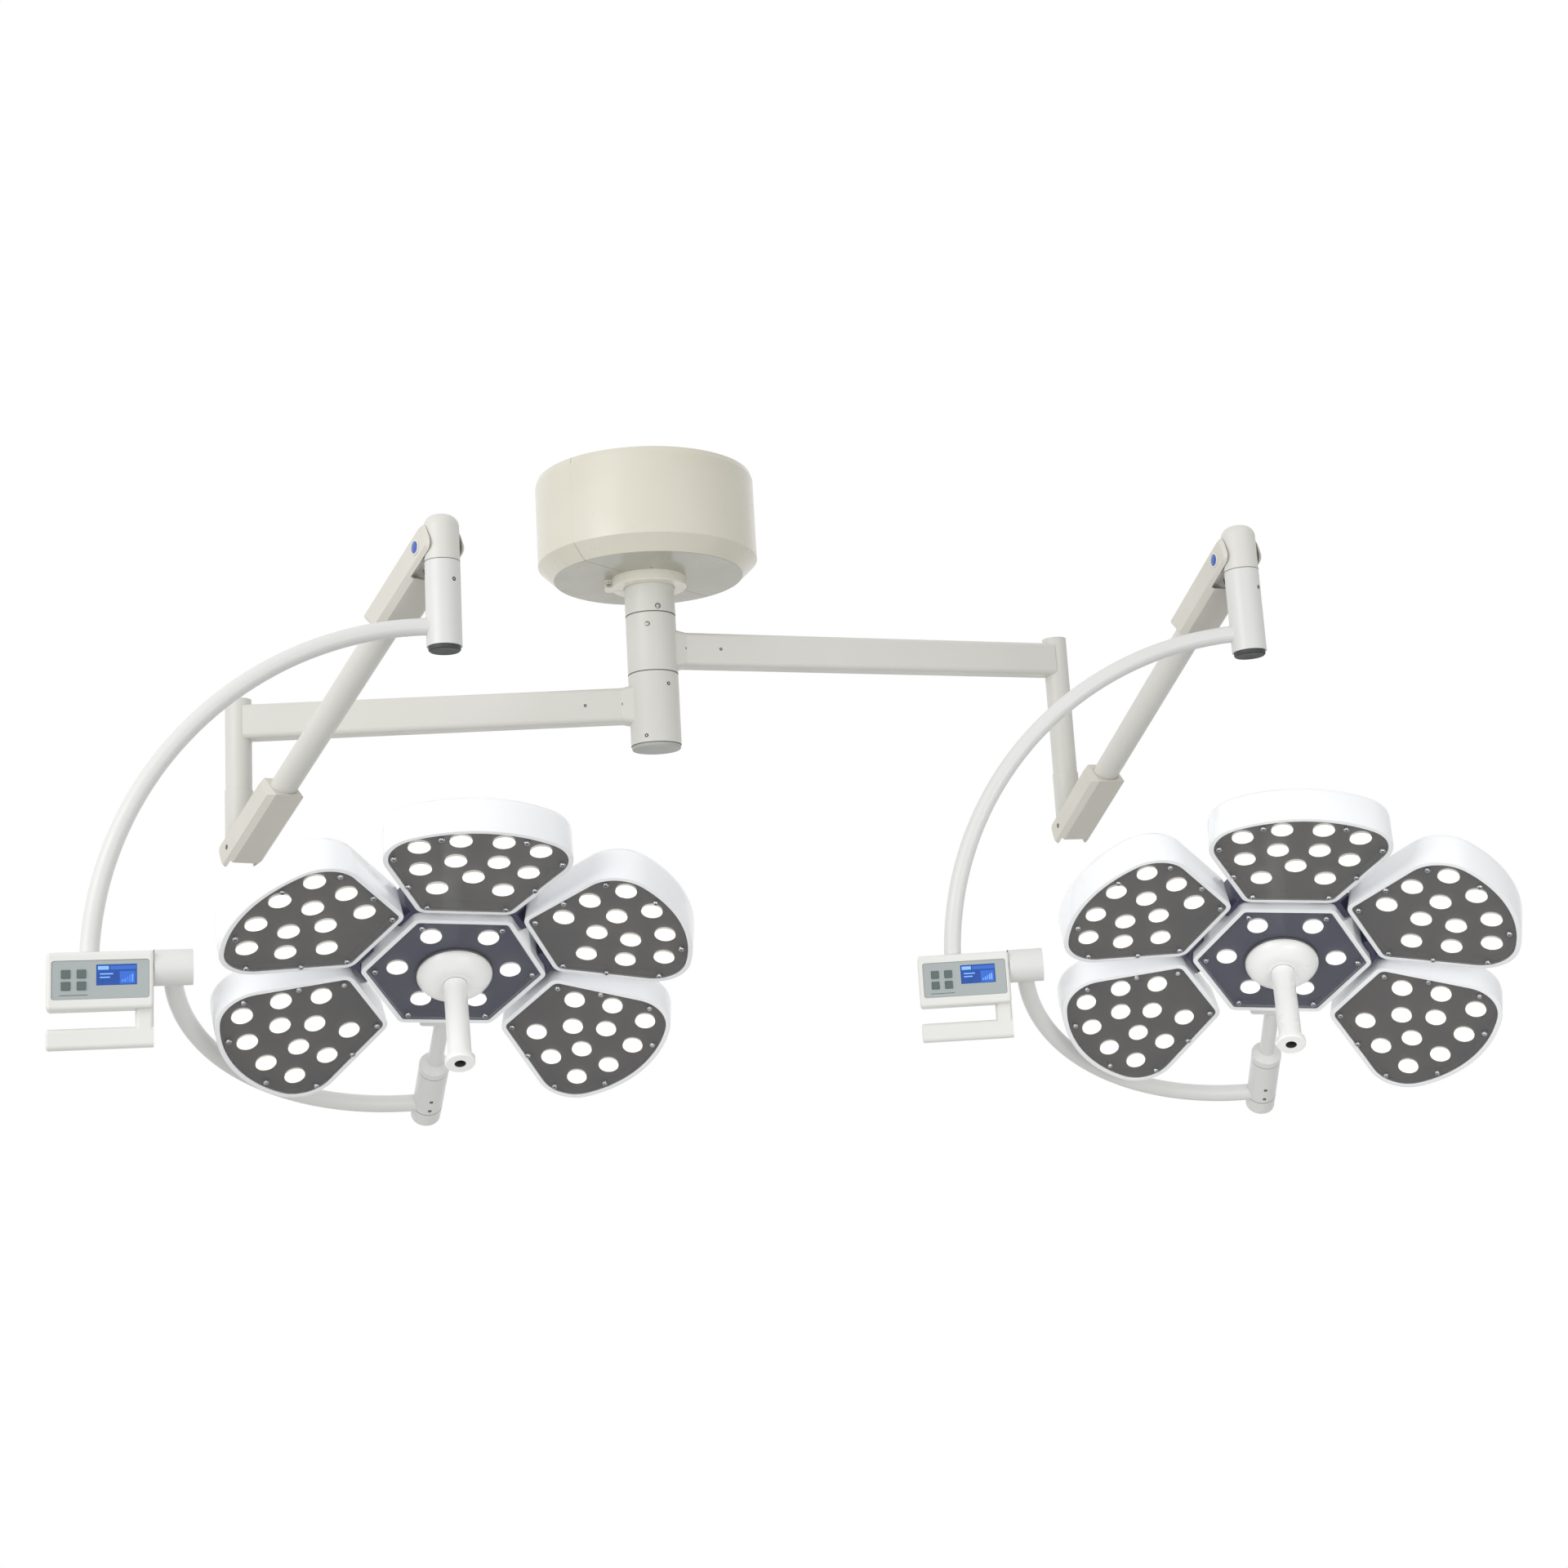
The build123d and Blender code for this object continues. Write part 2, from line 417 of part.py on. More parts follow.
def make_cover(name, pivot, length):
    """Moulded cover: two cheeks beside the pivot, then a closed box round the tube."""
    width = 2 * COVER_HALF_WIDTH
    cheek_gap = width - 2 * COVER_WALL
    with BuildPart() as cover:
        with BuildSketch(side(pivot, COVER_HALF_WIDTH)):
            add(cover_outline(length))
        extrude(amount=width)
        fillet(cover.faces().filter_by(side(pivot)).edges(), COVER_EDGE_ROUND)
        with BuildSketch(side(pivot, COVER_HALF_WIDTH - COVER_WALL)):
            add(cover_outline(length))
            offset(amount=-COVER_WALL)
        extrude(amount=cheek_gap, mode=Mode.SUBTRACT)
        with BuildSketch(side(pivot, COVER_HALF_WIDTH - COVER_WALL)):
            Rectangle(2 * COVER_OPEN_LENGTH, 2 * COVER_HALF_HEIGHT + COVER_WALL)
        extrude(amount=cheek_gap, mode=Mode.SUBTRACT)
        with BuildSketch(end(pivot, COVER_OPEN_LENGTH)):
            Circle(SPRING_TUBE_RADIUS + RUNNING_FIT)
        extrude(amount=length, mode=Mode.SUBTRACT)
    write(cover, name)


def make_pivot_caps(name, upper):
    with BuildPart() as caps:
        for y in (COVER_HALF_WIDTH + PIVOT_RING_HEIGHT, -COVER_HALF_WIDTH):
            with BuildSketch(side(upper, y)):
                Circle(PIVOT_RING_RADIUS)
            extrude(amount=PIVOT_RING_HEIGHT)
        for y in (COVER_HALF_WIDTH + PIVOT_CAP_HEIGHT, -COVER_HALF_WIDTH - PIVOT_RING_HEIGHT):
            with BuildSketch(side(upper, y)):
                Circle(PIVOT_CAP_RADIUS)
            extrude(amount=PIVOT_CAP_HEIGHT - PIVOT_RING_HEIGHT)
    write(caps, f"{name}_pivot_caps")


def make_balance_spring(name, lower):
    start = BULKHEAD_START + BULKHEAD_LENGTH
    with BuildPart() as spring:
        with BuildSketch(end(at(lower, z=SPRING_RISE), start)):
            Circle(SPRING_BODY_RADIUS)
        extrude(amount=SPRING_BODY_LENGTH)
        with BuildSketch(end(at(lower, z=SPRING_RISE), start)):
            Circle(SPRING_ROD_RADIUS)
        extrude(amount=SPRING_ARM_LENGTH - 2 * start)
    write(spring, f"{name}_balance_spring")


def make_tie_rod(name, rod):
    with BuildPart() as tie:
        for x in (0, SPRING_ARM_LENGTH):
            with BuildSketch(side(at(rod, x=x), ROD_EYE_HALF_WIDTH)):
                Circle(ROD_EYE_RADIUS)
            extrude(amount=2 * ROD_EYE_HALF_WIDTH)
        with BuildSketch(end(rod)):
            Circle(ROD_RADIUS)
        extrude(amount=SPRING_ARM_LENGTH)
        for x, clearance in ((0, RUNNING_FIT), (SPRING_ARM_LENGTH, OPEN_PIVOT_GAP)):
            with BuildSketch(side(at(rod, x=x), ROD_EYE_HALF_WIDTH)):
                Circle(ROD_PIN_RADIUS + clearance)
            extrude(amount=2 * ROD_EYE_HALF_WIDTH, mode=Mode.SUBTRACT)
    write(tie, f"{name}_tie_rod")


def make_head_block(name, stem, pivot):
    bottom = FACE_GAP - SWIVEL_DROP
    with BuildPart() as block:
        with BuildSketch(at(stem, z=bottom)):
            Circle(STEM_RADIUS)
        extrude(amount=HEAD_BLOCK_RISE - bottom)
        fillet(block.edges().sort_by(Axis.Z)[-1], HEAD_BLOCK_ROUND)
        add(pivot_cutouts(pivot, 1), mode=Mode.SUBTRACT)
        add(pivot_barrel(pivot, 1))
        with BuildSketch(at(stem, z=bottom)):
            Circle(STEM_JOURNAL_RADIUS + RUNNING_FIT)
        extrude(amount=STEM_JOURNAL_LENGTH, mode=Mode.SUBTRACT)
    write(block, f"{name}_head_block")


# ---- gimbal
def yoke_tube(yoke, radius, angle):
    """Round tube bent about the yoke's centre, from the side axis upward."""
    with BuildPart() as tube:
        with BuildSketch(at(yoke, x=UPPER_YOKE_RADIUS)):
            Circle(radius)
        revolve(axis=Axis(yoke.origin, -yoke.y_dir), revolution_arc=angle)
    return tube.part


def make_upper_yoke(name, yoke):
    with BuildPart() as upper:
        with BuildSketch(at(yoke, z=STEM_BOTTOM)):
            Circle(STEM_RADIUS)
        extrude(amount=STEM_TOP - STEM_BOTTOM)
        with BuildSketch(at(yoke, z=STEM_TOP)):
            Circle(STEM_JOURNAL_RADIUS)
        extrude(amount=STEM_JOURNAL_LENGTH - FACE_GAP)
        add(yoke_tube(yoke, YOKE_TUBE_RADIUS, 90))
    write(upper, f"{name}_upper_yoke")


def make_stem_plug(name, yoke):
    with BuildPart() as plug:
        with BuildSketch(at(yoke, z=STEM_BOTTOM - STEM_PLUG_THICKNESS)):
            Circle(STEM_PLUG_RADIUS)
        extrude(amount=STEM_PLUG_THICKNESS)
        chamfer(plug.edges().sort_by(Axis.Z)[0], STEM_PLUG_CHAMFER)
    write(plug, f"{name}_stem_plug")


def make_control_housing(name, yoke):
    length = HOUSING_END - HOUSING_START
    along = Axis(yoke.origin, yoke.x_dir)
    with BuildPart() as housing:
        with BuildSketch(side(yoke, HOUSING_HALF_DEPTH)):
            with Locations((HOUSING_START + length / 2, (HOUSING_TOP - HOUSING_BOTTOM) / 2)):
                Rectangle(length, HOUSING_TOP + HOUSING_BOTTOM)
        extrude(amount=2 * HOUSING_HALF_DEPTH)
        fillet(housing.edges(), HOUSING_ROUND)
        with BuildSketch(end(at(yoke, z=-(GRIP_TOP + GRIP_BOTTOM) / 2), HOUSING_START)):
            RectangleRounded(2 * GRIP_HALF_DEPTH, GRIP_BOTTOM - GRIP_TOP, GRIP_ROUND)
        extrude(amount=length)
        fillet(housing.faces(Select.LAST).sort_by(along)[-1].edges(), GRIP_ROUND / 2)
        with BuildSketch(at(yoke, x=HOUSING_START + GRIP_POST_WIDTH / 2, z=-GRIP_BOTTOM + GRIP_ROUND)):
            RectangleRounded(GRIP_POST_WIDTH, 2 * GRIP_HALF_DEPTH, GRIP_ROUND)
        extrude(amount=GRIP_BOTTOM - GRIP_ROUND - HOUSING_BOTTOM + HOUSING_ROUND)
        with BuildSketch(side(yoke, HOUSING_HALF_DEPTH)):
            panel_outline(LOOSE_FIT)
        extrude(amount=PANEL_RECESS + PANEL_THICKNESS, mode=Mode.SUBTRACT)
        add(yoke_tube(yoke, YOKE_TUBE_RADIUS + RUNNING_FIT, YOKE_SOCKET_ANGLE), mode=Mode.SUBTRACT)
        with BuildSketch(end(yoke, HOUSING_START + FACE_GAP - SIDE_JOURNAL_LENGTH)):
            Circle(SIDE_JOURNAL_RADIUS)
        extrude(amount=SIDE_JOURNAL_LENGTH)
    write(housing, f"{name}_control_housing")


def panel_outline(margin):
    with Locations(((PANEL_START + PANEL_END) / 2, (PANEL_TOP - PANEL_BOTTOM) / 2)):
        RectangleRounded(
            PANEL_END - PANEL_START + 2 * margin, PANEL_TOP + PANEL_BOTTOM + 2 * margin, PANEL_CORNER
        )


def make_control_panel(name, yoke):
    face = HOUSING_HALF_DEPTH - PANEL_RECESS
    with BuildPart() as panel:
        with BuildSketch(side(yoke, face)):
            panel_outline(0)
            with Locations(*((x, z) for x in BUTTON_COLUMNS for z in BUTTON_ROWS)):
                Rectangle(BUTTON_SIDE + 2 * LOOSE_FIT, BUTTON_SIDE + 2 * LOOSE_FIT, mode=Mode.SUBTRACT)
        extrude(amount=PANEL_THICKNESS)
        with BuildSketch(side(yoke, face)):
            with Locations((DISPLAY_CENTRE, DISPLAY_RISE)):
                Rectangle(DISPLAY_LENGTH + LOOSE_FIT, DISPLAY_HEIGHT + LOOSE_FIT)
        extrude(amount=DISPLAY_THICKNESS, mode=Mode.SUBTRACT)
    write(panel, f"{name}_control_panel")


def make_display(name, yoke):
    with BuildPart() as display:
        with BuildSketch(side(yoke, HOUSING_HALF_DEPTH - PANEL_RECESS)):
            with Locations((DISPLAY_CENTRE, DISPLAY_RISE)):
                Rectangle(DISPLAY_LENGTH, DISPLAY_HEIGHT)
        extrude(amount=DISPLAY_THICKNESS)
    write(display, f"{name}_display")


def make_buttons(name, yoke):
    front_face = HOUSING_HALF_DEPTH - PANEL_RECESS + BUTTON_PROUD
    places = [(x, z) for z in BUTTON_ROWS for x in BUTTON_COLUMNS]
    for number, (x, z) in enumerate(places, 1):
        with BuildPart() as button:
            with BuildSketch(side(at(yoke, x=x, z=z), front_face)):
                Rectangle(BUTTON_SIDE, BUTTON_SIDE)
            extrude(amount=BUTTON_PROUD + PANEL_THICKNESS - BUTTON_TRAVEL - LOOSE_FIT)
        write(button, f"{name}_button_{number}")


def make_lower_yoke(name, cradle):
    centre = LOWER_YOKE_START - LOWER_YOKE_RADIUS
    sweep = 90 + degrees(asin(centre / LOWER_YOKE_RADIUS))
    with BuildPart() as lower:
        with BuildSketch(front(at(cradle, x=LOWER_YOKE_START))):
            Circle(YOKE_TUBE_RADIUS)
        revolve(axis=Axis(at(cradle, x=centre).origin, cradle.z_dir), revolution_arc=sweep)
        with BuildSketch(end(cradle, DRUM_START)):
            Circle(DRUM_RADIUS)
        extrude(amount=HOUSING_START - FACE_GAP - DRUM_START)
        with BuildSketch(front(cradle, SOCKET_START)):
            Circle(SOCKET_RADIUS)
        extrude(amount=SOCKET_END - SOCKET_START)
        with BuildSketch(end(cradle, HOUSING_START - SIDE_JOURNAL_LENGTH)):
            Circle(SIDE_JOURNAL_RADIUS + RUNNING_FIT)
        extrude(amount=SIDE_JOURNAL_LENGTH, mode=Mode.SUBTRACT)
        with BuildSketch(front(cradle, SOCKET_START)):
            Circle(HEAD_JOURNAL_RADIUS + RUNNING_FIT)
        extrude(amount=HEAD_JOURNAL_LENGTH, mode=Mode.SUBTRACT)
    write(lower, f"{name}_lower_yoke")


# ---- lamp head
def petal_outline(margin):
    """Outline of a petal's window in its own plane, widened by a margin: narrow inside, bowed outside."""
    with BuildSketch() as outline:
        with BuildLine():
            Polyline(
                (PETAL_SHOULDER, -PETAL_SHOULDER_HALF),
                (PETAL_SIDE, -PETAL_SIDE_HALF),
                (PETAL_INNER, -PETAL_INNER_HALF),
                (PETAL_INNER, PETAL_INNER_HALF),
                (PETAL_SIDE, PETAL_SIDE_HALF),
                (PETAL_SHOULDER, PETAL_SHOULDER_HALF),
            )
            ThreePointArc(
                (PETAL_SHOULDER, PETAL_SHOULDER_HALF),
                (PETAL_OUTER, 0),
                (PETAL_SHOULDER, -PETAL_SHOULDER_HALF),
            )
        make_face()
        fillet(outline.vertices(), PETAL_CORNER)
        offset(amount=margin)
    return outline.sketch


def hexagon_outline(margin):
    """Outline of the centre window, widened by a margin."""
    with BuildSketch() as outline:
        RegularPolygon(HEX_RADIUS, 6)
        fillet(outline.vertices(), HEX_CORNER)
        offset(amount=margin)
    return outline.sketch


def petal_planes(face):
    """One plane per petal, from the head's axis: x runs outward and z is the light's direction."""
    planes = []
    for angle in PETAL_ANGLES:
        hinge = at(spun(face, angle), x=PETAL_HINGE_RADIUS, z=-PETAL_DROP)
        planes.append(at(tipped(hinge, PETAL_TILT), x=-PETAL_HINGE_RADIUS))
    return planes


def make_housings(name, planes, outline, depth):
    with BuildPart() as housing:
        for plane in planes:
            with BuildSketch(at(plane, z=-depth)):
                add(outline(LIP_WIDTH))
            extrude(amount=depth)
            back = housing.faces(Select.LAST).sort_by(Axis(plane.origin, plane.z_dir))[0]
            fillet(back.edges(), BACK_ROUND)
        for plane in planes:
            with BuildSketch(at(plane, z=-WINDOW_RECESS - WINDOW_THICKNESS)):
                add(outline(WINDOW_CLEARANCE))
            extrude(amount=WINDOW_RECESS + WINDOW_THICKNESS, mode=Mode.SUBTRACT)
            with BuildSketch(at(plane, z=-TRAY_DEPTH)):
                add(outline(-WINDOW_LEDGE))
            extrude(amount=TRAY_DEPTH, mode=Mode.SUBTRACT)
    write(housing, name)


def make_windows(name, planes, outline):
    with BuildPart() as windows:
        for plane in planes:
            with BuildSketch(at(plane, z=-WINDOW_RECESS - WINDOW_THICKNESS)):
                add(outline(0))
            extrude(amount=WINDOW_THICKNESS)
    write(windows, name)


def make_lenses(name, face, planes):
    spots = [(u, sign * v) for u, v in LENS_ROWS for sign in (-1, 1)] + [(LENS_ALONE, 0)]
    with BuildPart() as lenses:
        for plane in planes:
            with BuildSketch(at(plane, z=-TRAY_DEPTH)):
                with Locations(*spots):
                    RegularPolygon(LENS_RADIUS, LENS_SIDES)
            extrude(amount=LENS_HEIGHT)
        with BuildSketch(at(face, z=-TRAY_DEPTH)):
            with PolarLocations(CENTRE_LENS_RADIUS, CENTRE_LENS_COUNT):
                RegularPolygon(LENS_RADIUS, LENS_SIDES)
        extrude(amount=LENS_HEIGHT)
    write(lenses, f"{name}_led_lenses")


def make_head_carrier(name, face, planes):
    plate_top = -CENTRE_DEPTH
    plate_back = plate_top - CARRIER_THICKNESS
    stem_height = -FACE_HEIGHT
    collar_end = SOCKET_START - FACE_GAP
    with BuildPart() as carrier:
        with BuildSketch(at(face, z=plate_back)):
            Circle(CARRIER_RADIUS)
        extrude(amount=CARRIER_THICKNESS)
        for plane in planes:
            with BuildSketch(at(plane, z=-PETAL_DEPTH - SPIDER_ARM_THICKNESS)):
                with Locations(((SPIDER_ARM_START + SPIDER_ARM_END) / 2, 0)):
                    length = SPIDER_ARM_END - SPIDER_ARM_START
                    RectangleRounded(length, SPIDER_ARM_WIDTH, SPIDER_ARM_WIDTH / 4)
            extrude(amount=SPIDER_ARM_THICKNESS)
        for angle in RIB_ANGLES:
            with BuildSketch(side(spun(face, angle), RIB_WIDTH / 2)):
                with BuildLine():
                    Polyline(
                        (CARRIER_RADIUS - RIB_WIDTH, plate_back),
                        (RIB_OUTER - RIB_WIDTH, plate_back),
                        (RIB_OUTER, plate_top),
                        (RIB_OUTER, -RIB_TOP),
                        (RIB_INNER, -RIB_TOP),
                        (RIB_INNER, plate_top),
                        (CARRIER_RADIUS - RIB_WIDTH, plate_top),
                        close=True,
                    )
                make_face()
            extrude(amount=RIB_WIDTH)
        with BuildSketch(at(face, z=plate_back)):
            with Locations((0, BRACKET_INNER + BRACKET_THICKNESS / 2)):
                RectangleRounded(2 * BRACKET_HALF_WIDTH, BRACKET_THICKNESS, BRACKET_CORNER)
        extrude(amount=-plate_back - BRACKET_TOP)
        with BuildSketch(at(face, z=plate_back)):
            with Locations((0, BRACKET_INNER)):
                Rectangle(2 * BRACKET_HALF_WIDTH - 2 * BRACKET_CORNER, BRACKET_THICKNESS)
        extrude(amount=CARRIER_THICKNESS)
        with BuildSketch(front(at(face, z=stem_height), BRACKET_INNER + BRACKET_THICKNESS / 2)):
            Circle(HEAD_STEM_RADIUS)
        extrude(amount=collar_end - BRACKET_INNER - BRACKET_THICKNESS / 2)
        with BuildSketch(front(at(face, z=stem_height), collar_end - HEAD_COLLAR_LENGTH)):
            Circle(SOCKET_RADIUS)
        extrude(amount=HEAD_COLLAR_LENGTH)
        with BuildSketch(front(at(face, z=stem_height), collar_end)):
            Circle(HEAD_JOURNAL_RADIUS)
        extrude(amount=HEAD_JOURNAL_LENGTH)
    write(carrier, f"{name}_head_carrier")


def make_handle_base(name, face):
    seat = -WINDOW_RECESS
    with BuildPart() as base:
        with BuildSketch(side(face)):
            with BuildLine():
                Polyline(
                    (BASE_TOP_RADIUS, BASE_TOP),
                    (0, BASE_TOP),
                    (0, seat),
                    (BASE_RADIUS, seat),
                    (BASE_RADIUS, BASE_RIM_HEIGHT),
                )
                TangentArc(
                    (BASE_RADIUS, BASE_RIM_HEIGHT), (BASE_TOP_RADIUS, BASE_TOP), tangent=(-BASE_RIM_LEAN, 1)
                )
            make_face()
        revolve(axis=Axis(face.origin, face.z_dir))
        with BuildSketch(at(face, z=BASE_TOP - HANDLE_JOURNAL_LENGTH)):
            Circle(HANDLE_JOURNAL_RADIUS + RUNNING_FIT)
        extrude(amount=HANDLE_JOURNAL_LENGTH, mode=Mode.SUBTRACT)
    write(base, f"{name}_handle_base")


def make_sterile_handle(name, face):
    start = BASE_TOP + FACE_GAP
    with BuildPart() as handle:
        with BuildSketch(at(face, z=start - HANDLE_JOURNAL_LENGTH)):
            Circle(HANDLE_JOURNAL_RADIUS)
        extrude(amount=HANDLE_JOURNAL_LENGTH)
        with BuildSketch(at(face, z=start)):
            Circle(HANDLE_RADIUS)
        extrude(amount=HANDLE_END - start)
        with BuildSketch(at(face, z=HANDLE_END - HANDLE_FLANGE_THICKNESS)):
            Circle(HANDLE_FLANGE_RADIUS)
        extrude(amount=HANDLE_FLANGE_THICKNESS)
        rims = handle.edges().filter_by(GeomType.CIRCLE).sort_by(Axis(face.origin, face.z_dir))
        fillet(rims[-2:], HANDLE_ROUND)
        with BuildSketch(at(face, z=HANDLE_END - HANDLE_SOCKET_DEPTH)):
            Circle(HANDLE_SOCKET_RADIUS)
        extrude(amount=HANDLE_SOCKET_DEPTH, mode=Mode.SUBTRACT)
    write(handle, f"{name}_sterile_handle")


# ---- the whole light
make_ceiling_flange()
make_fixed_column()
make_column_screws()
make_canopy_shell()
make_canopy_collar()
make_column_end_cap()

for name, unit in UNITS.items():
    hub = turned((0, 0, 0), unit["arm_angle"])
    drop = turned(at(hub, x=unit["arm_length"]).origin, unit["spring_angle"])
    pivot = at(drop, x=PIVOT_OFFSET, z=-PIVOT_DEPTH)
    lower = tipped(pivot, unit["spring_pitch"])
    rod = tipped(at(pivot, z=-ROD_DROP), unit["spring_pitch"])
    upper = turned(at(lower, x=SPRING_ARM_LENGTH).origin, unit["spring_angle"])
    upper_back = Plane(origin=upper.origin, x_dir=-lower.x_dir, z_dir=lower.z_dir)
    stem = at(upper, x=PIVOT_OFFSET)
    yoke = turned(at(stem, z=-PIVOT_HEIGHT).origin, unit["yoke_angle"])
    cradle = hung(yoke, unit["yoke_pitch"])
    head = tipped(cradle, -unit["head_turn"])
    face = at(head, z=FACE_HEIGHT)
    petals = petal_planes(face)

    make_extension_arm(name, unit, hub, drop)
    make_knuckle(name, drop, pivot)
    make_spring_arm_tube(name, lower)
    make_cover(f"{name}_lower_cover", lower, LOWER_COVER_LENGTH)
    make_cover(f"{name}_upper_cover", upper_back, UPPER_COVER_LENGTH)
    make_pivot_caps(name, upper_back)
    make_balance_spring(name, lower)
    make_tie_rod(name, rod)
    make_head_block(name, stem, upper)
    make_upper_yoke(name, yoke)
    make_stem_plug(name, yoke)
    make_control_housing(name, yoke)
    make_control_panel(name, yoke)
    make_display(name, yoke)
    make_buttons(name, yoke)
    make_lower_yoke(name, cradle)
    make_head_carrier(name, face, petals)
    make_housings(f"{name}_petal_housings", petals, petal_outline, PETAL_DEPTH)
    make_housings(f"{name}_center_housing", [face], hexagon_outline, CENTRE_DEPTH)
    make_windows(f"{name}_petal_windows", petals, petal_outline)
    make_windows(f"{name}_center_window", [face], hexagon_outline)
    make_lenses(name, face, petals)
    make_handle_base(name, face)
    make_sterile_handle(name, face)
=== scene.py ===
# %% [markdown]
# # A twin surgical light on its CAD frame
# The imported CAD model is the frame: every dimension, place and joint comes from it. This lesson adds what a
# drawing leaves out: enamel, powder coat, smoked acrylic, glowing lenses, screw heads, seams and key marks.

# %% Load the frame
import bpy
import bmesh
import json
from math import cos, pi, radians, sin, tau
from mathutils import Matrix, Vector


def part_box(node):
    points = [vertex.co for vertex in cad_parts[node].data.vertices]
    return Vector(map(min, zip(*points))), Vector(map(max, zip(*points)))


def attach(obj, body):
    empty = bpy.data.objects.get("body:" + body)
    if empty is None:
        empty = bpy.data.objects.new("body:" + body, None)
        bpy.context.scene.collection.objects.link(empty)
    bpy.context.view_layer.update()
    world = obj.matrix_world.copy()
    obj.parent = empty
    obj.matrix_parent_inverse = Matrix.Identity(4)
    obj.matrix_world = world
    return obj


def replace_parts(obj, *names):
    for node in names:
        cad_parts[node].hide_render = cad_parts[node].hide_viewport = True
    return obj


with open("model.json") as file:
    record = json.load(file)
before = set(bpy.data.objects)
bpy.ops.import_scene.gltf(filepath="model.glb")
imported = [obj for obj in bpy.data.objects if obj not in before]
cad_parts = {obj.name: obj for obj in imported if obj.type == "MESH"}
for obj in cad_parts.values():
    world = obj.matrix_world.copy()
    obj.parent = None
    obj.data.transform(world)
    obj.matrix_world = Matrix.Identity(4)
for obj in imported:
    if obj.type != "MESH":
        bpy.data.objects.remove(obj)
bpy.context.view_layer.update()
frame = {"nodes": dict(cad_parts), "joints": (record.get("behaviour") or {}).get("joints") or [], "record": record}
nodes = frame["nodes"]
joints = {joint["name"]: joint for joint in frame["joints"]}

# %% [markdown]
# ## Directions of each lamp unit
# A light like this is a chain: beam, spring arm, head block, two bent yokes, head. Each link turns about one
# axis, and the record holds them all, so every local direction comes from the joints. A piece is then drawn
# in millimetres in a local frame, like a workshop drawing.

# %% Local frames
MM = 0.001
SIDES = ("left", "right")
UP = Vector((0, 0, 1))


def local(origin, x, z):
    """Frame at a point: z is the given direction, and x lies as near to the given one as it can."""
    z = z.normalized()
    x = (x - x.dot(z) * z).normalized()
    place = Matrix((x, z.cross(x), z)).transposed().to_4x4()
    place.translation = origin
    return place


def shifted(place, x=0, y=0, z=0):
    """The same directions at another point, given in millimetres of the frame."""
    return place @ Matrix.Translation(Vector((x, y, z)) * MM)


def facing(place, direction):
    """The same point with z turned to a direction given in the frame's own axes."""
    direction = place.to_3x3() @ Vector(direction)
    spare = place.to_3x3() @ Vector((direction.z, direction.x, direction.y))
    return local(place.translation, spare, direction)


def axis_of(name):
    return Vector(joints[name]["axis"])


def point_of(name):
    return Vector(joints[name]["pos_m"])


def unit_frames(side):
    """Frames of one unit's links: drop tube, both pivots of the spring arm, stem, yokes and head."""
    pitch = -axis_of(f"{side}_spring_pitch")
    lower, upper = point_of(f"{side}_spring_pitch"), point_of(f"{side}_head_level")
    stem = point_of(f"{side}_yoke_swivel")
    hinge, along = point_of(f"{side}_yoke_hinge"), axis_of(f"{side}_yoke_hinge")
    tilt, across = point_of(f"{side}_head_tilt"), axis_of(f"{side}_head_tilt")
    centre = tilt - across * (tilt - hinge).dot(across)
    light = axis_of(f"{side}_handle_turn")
    return {
        "drop": local(point_of(f"{side}_knuckle_swivel"), pitch.cross(UP), UP),
        "lower_pivot": local(lower, upper - lower, (upper - lower).cross(pitch)),
        "upper_pivot": local(upper, pitch.cross(UP), UP),
        "stem": local(stem, along, UP),
        "yoke": local(centre, along, UP),
        "cradle": local(centre, along, along.cross(across)),
        "head": local(centre, across.cross(light), light),
    }


units = {side: unit_frames(side) for side in SIDES}
for side in SIDES:
    print(side, "head centre", [round(v, 3) for v in units[side]["head"].translation])

# %% [markdown]
# ## Colours and nodes
# Colours are written as the sRGB hex values of a paint chart, and a renderer adds up linear light, so one
# function turns one into the other. A second function adds a shader node with its settings and links.

# %% Colour and node helpers
RGBA = {"data_type": "RGBA"}


def linear(code):
    """Linear RGBA of an sRGB hex colour."""
    values = [int(code[i:i + 2], 16) / 255 for i in (0, 2, 4)]
    return [v / 12.92 if v <= 0.04045 else ((v + 0.055) / 1.055) ** 2.4 for v in values] + [1.0]


def add(tree, kind, settings=None, **inputs):
    """One node: settings are its properties; inputs are values or links, by socket name or in_NUMBER."""
    node = tree.nodes.new(kind)
    for key, value in (settings or {}).items():
        setattr(node, key, value)
    for key, value in inputs.items():
        socket = node.inputs[int(key[3:])] if key.startswith("in_") else node.inputs[key.replace("_", " ")]
        if isinstance(value, bpy.types.NodeSocket):
            tree.links.new(value, socket)
        else:
            socket.default_value = value
    return node


def per_mm(size):
    """Scale of a texture whose pattern repeats about every size millimetres."""
    return 1 / (size * MM)


def begin(name):
    """An empty node material, its tree and the place in metres on the resting object."""
    material = bpy.data.materials.new(name)
    material.use_nodes = True
    tree = material.node_tree
    tree.nodes.clear()
    return material, tree, add(tree, "ShaderNodeTexCoord").outputs["Object"]


def end(material, shader):
    """The finished material, with the shader as its surface."""
    add(material.node_tree, "ShaderNodeOutputMaterial", Surface=shader.outputs[0])
    return material


# %% [markdown]
# ## Sprayed and moulded finishes
# Enamel, powder coat and moulded plastic are all a pigment in a clear binder, with an index of refraction
# near 1.5 and no metal. What tells them apart is how smooth the skin dries and how far its colour drifts.
# Powder flows into orange peel of a millimetre or two; here it is drawn at 3 mm, coarse enough to show.

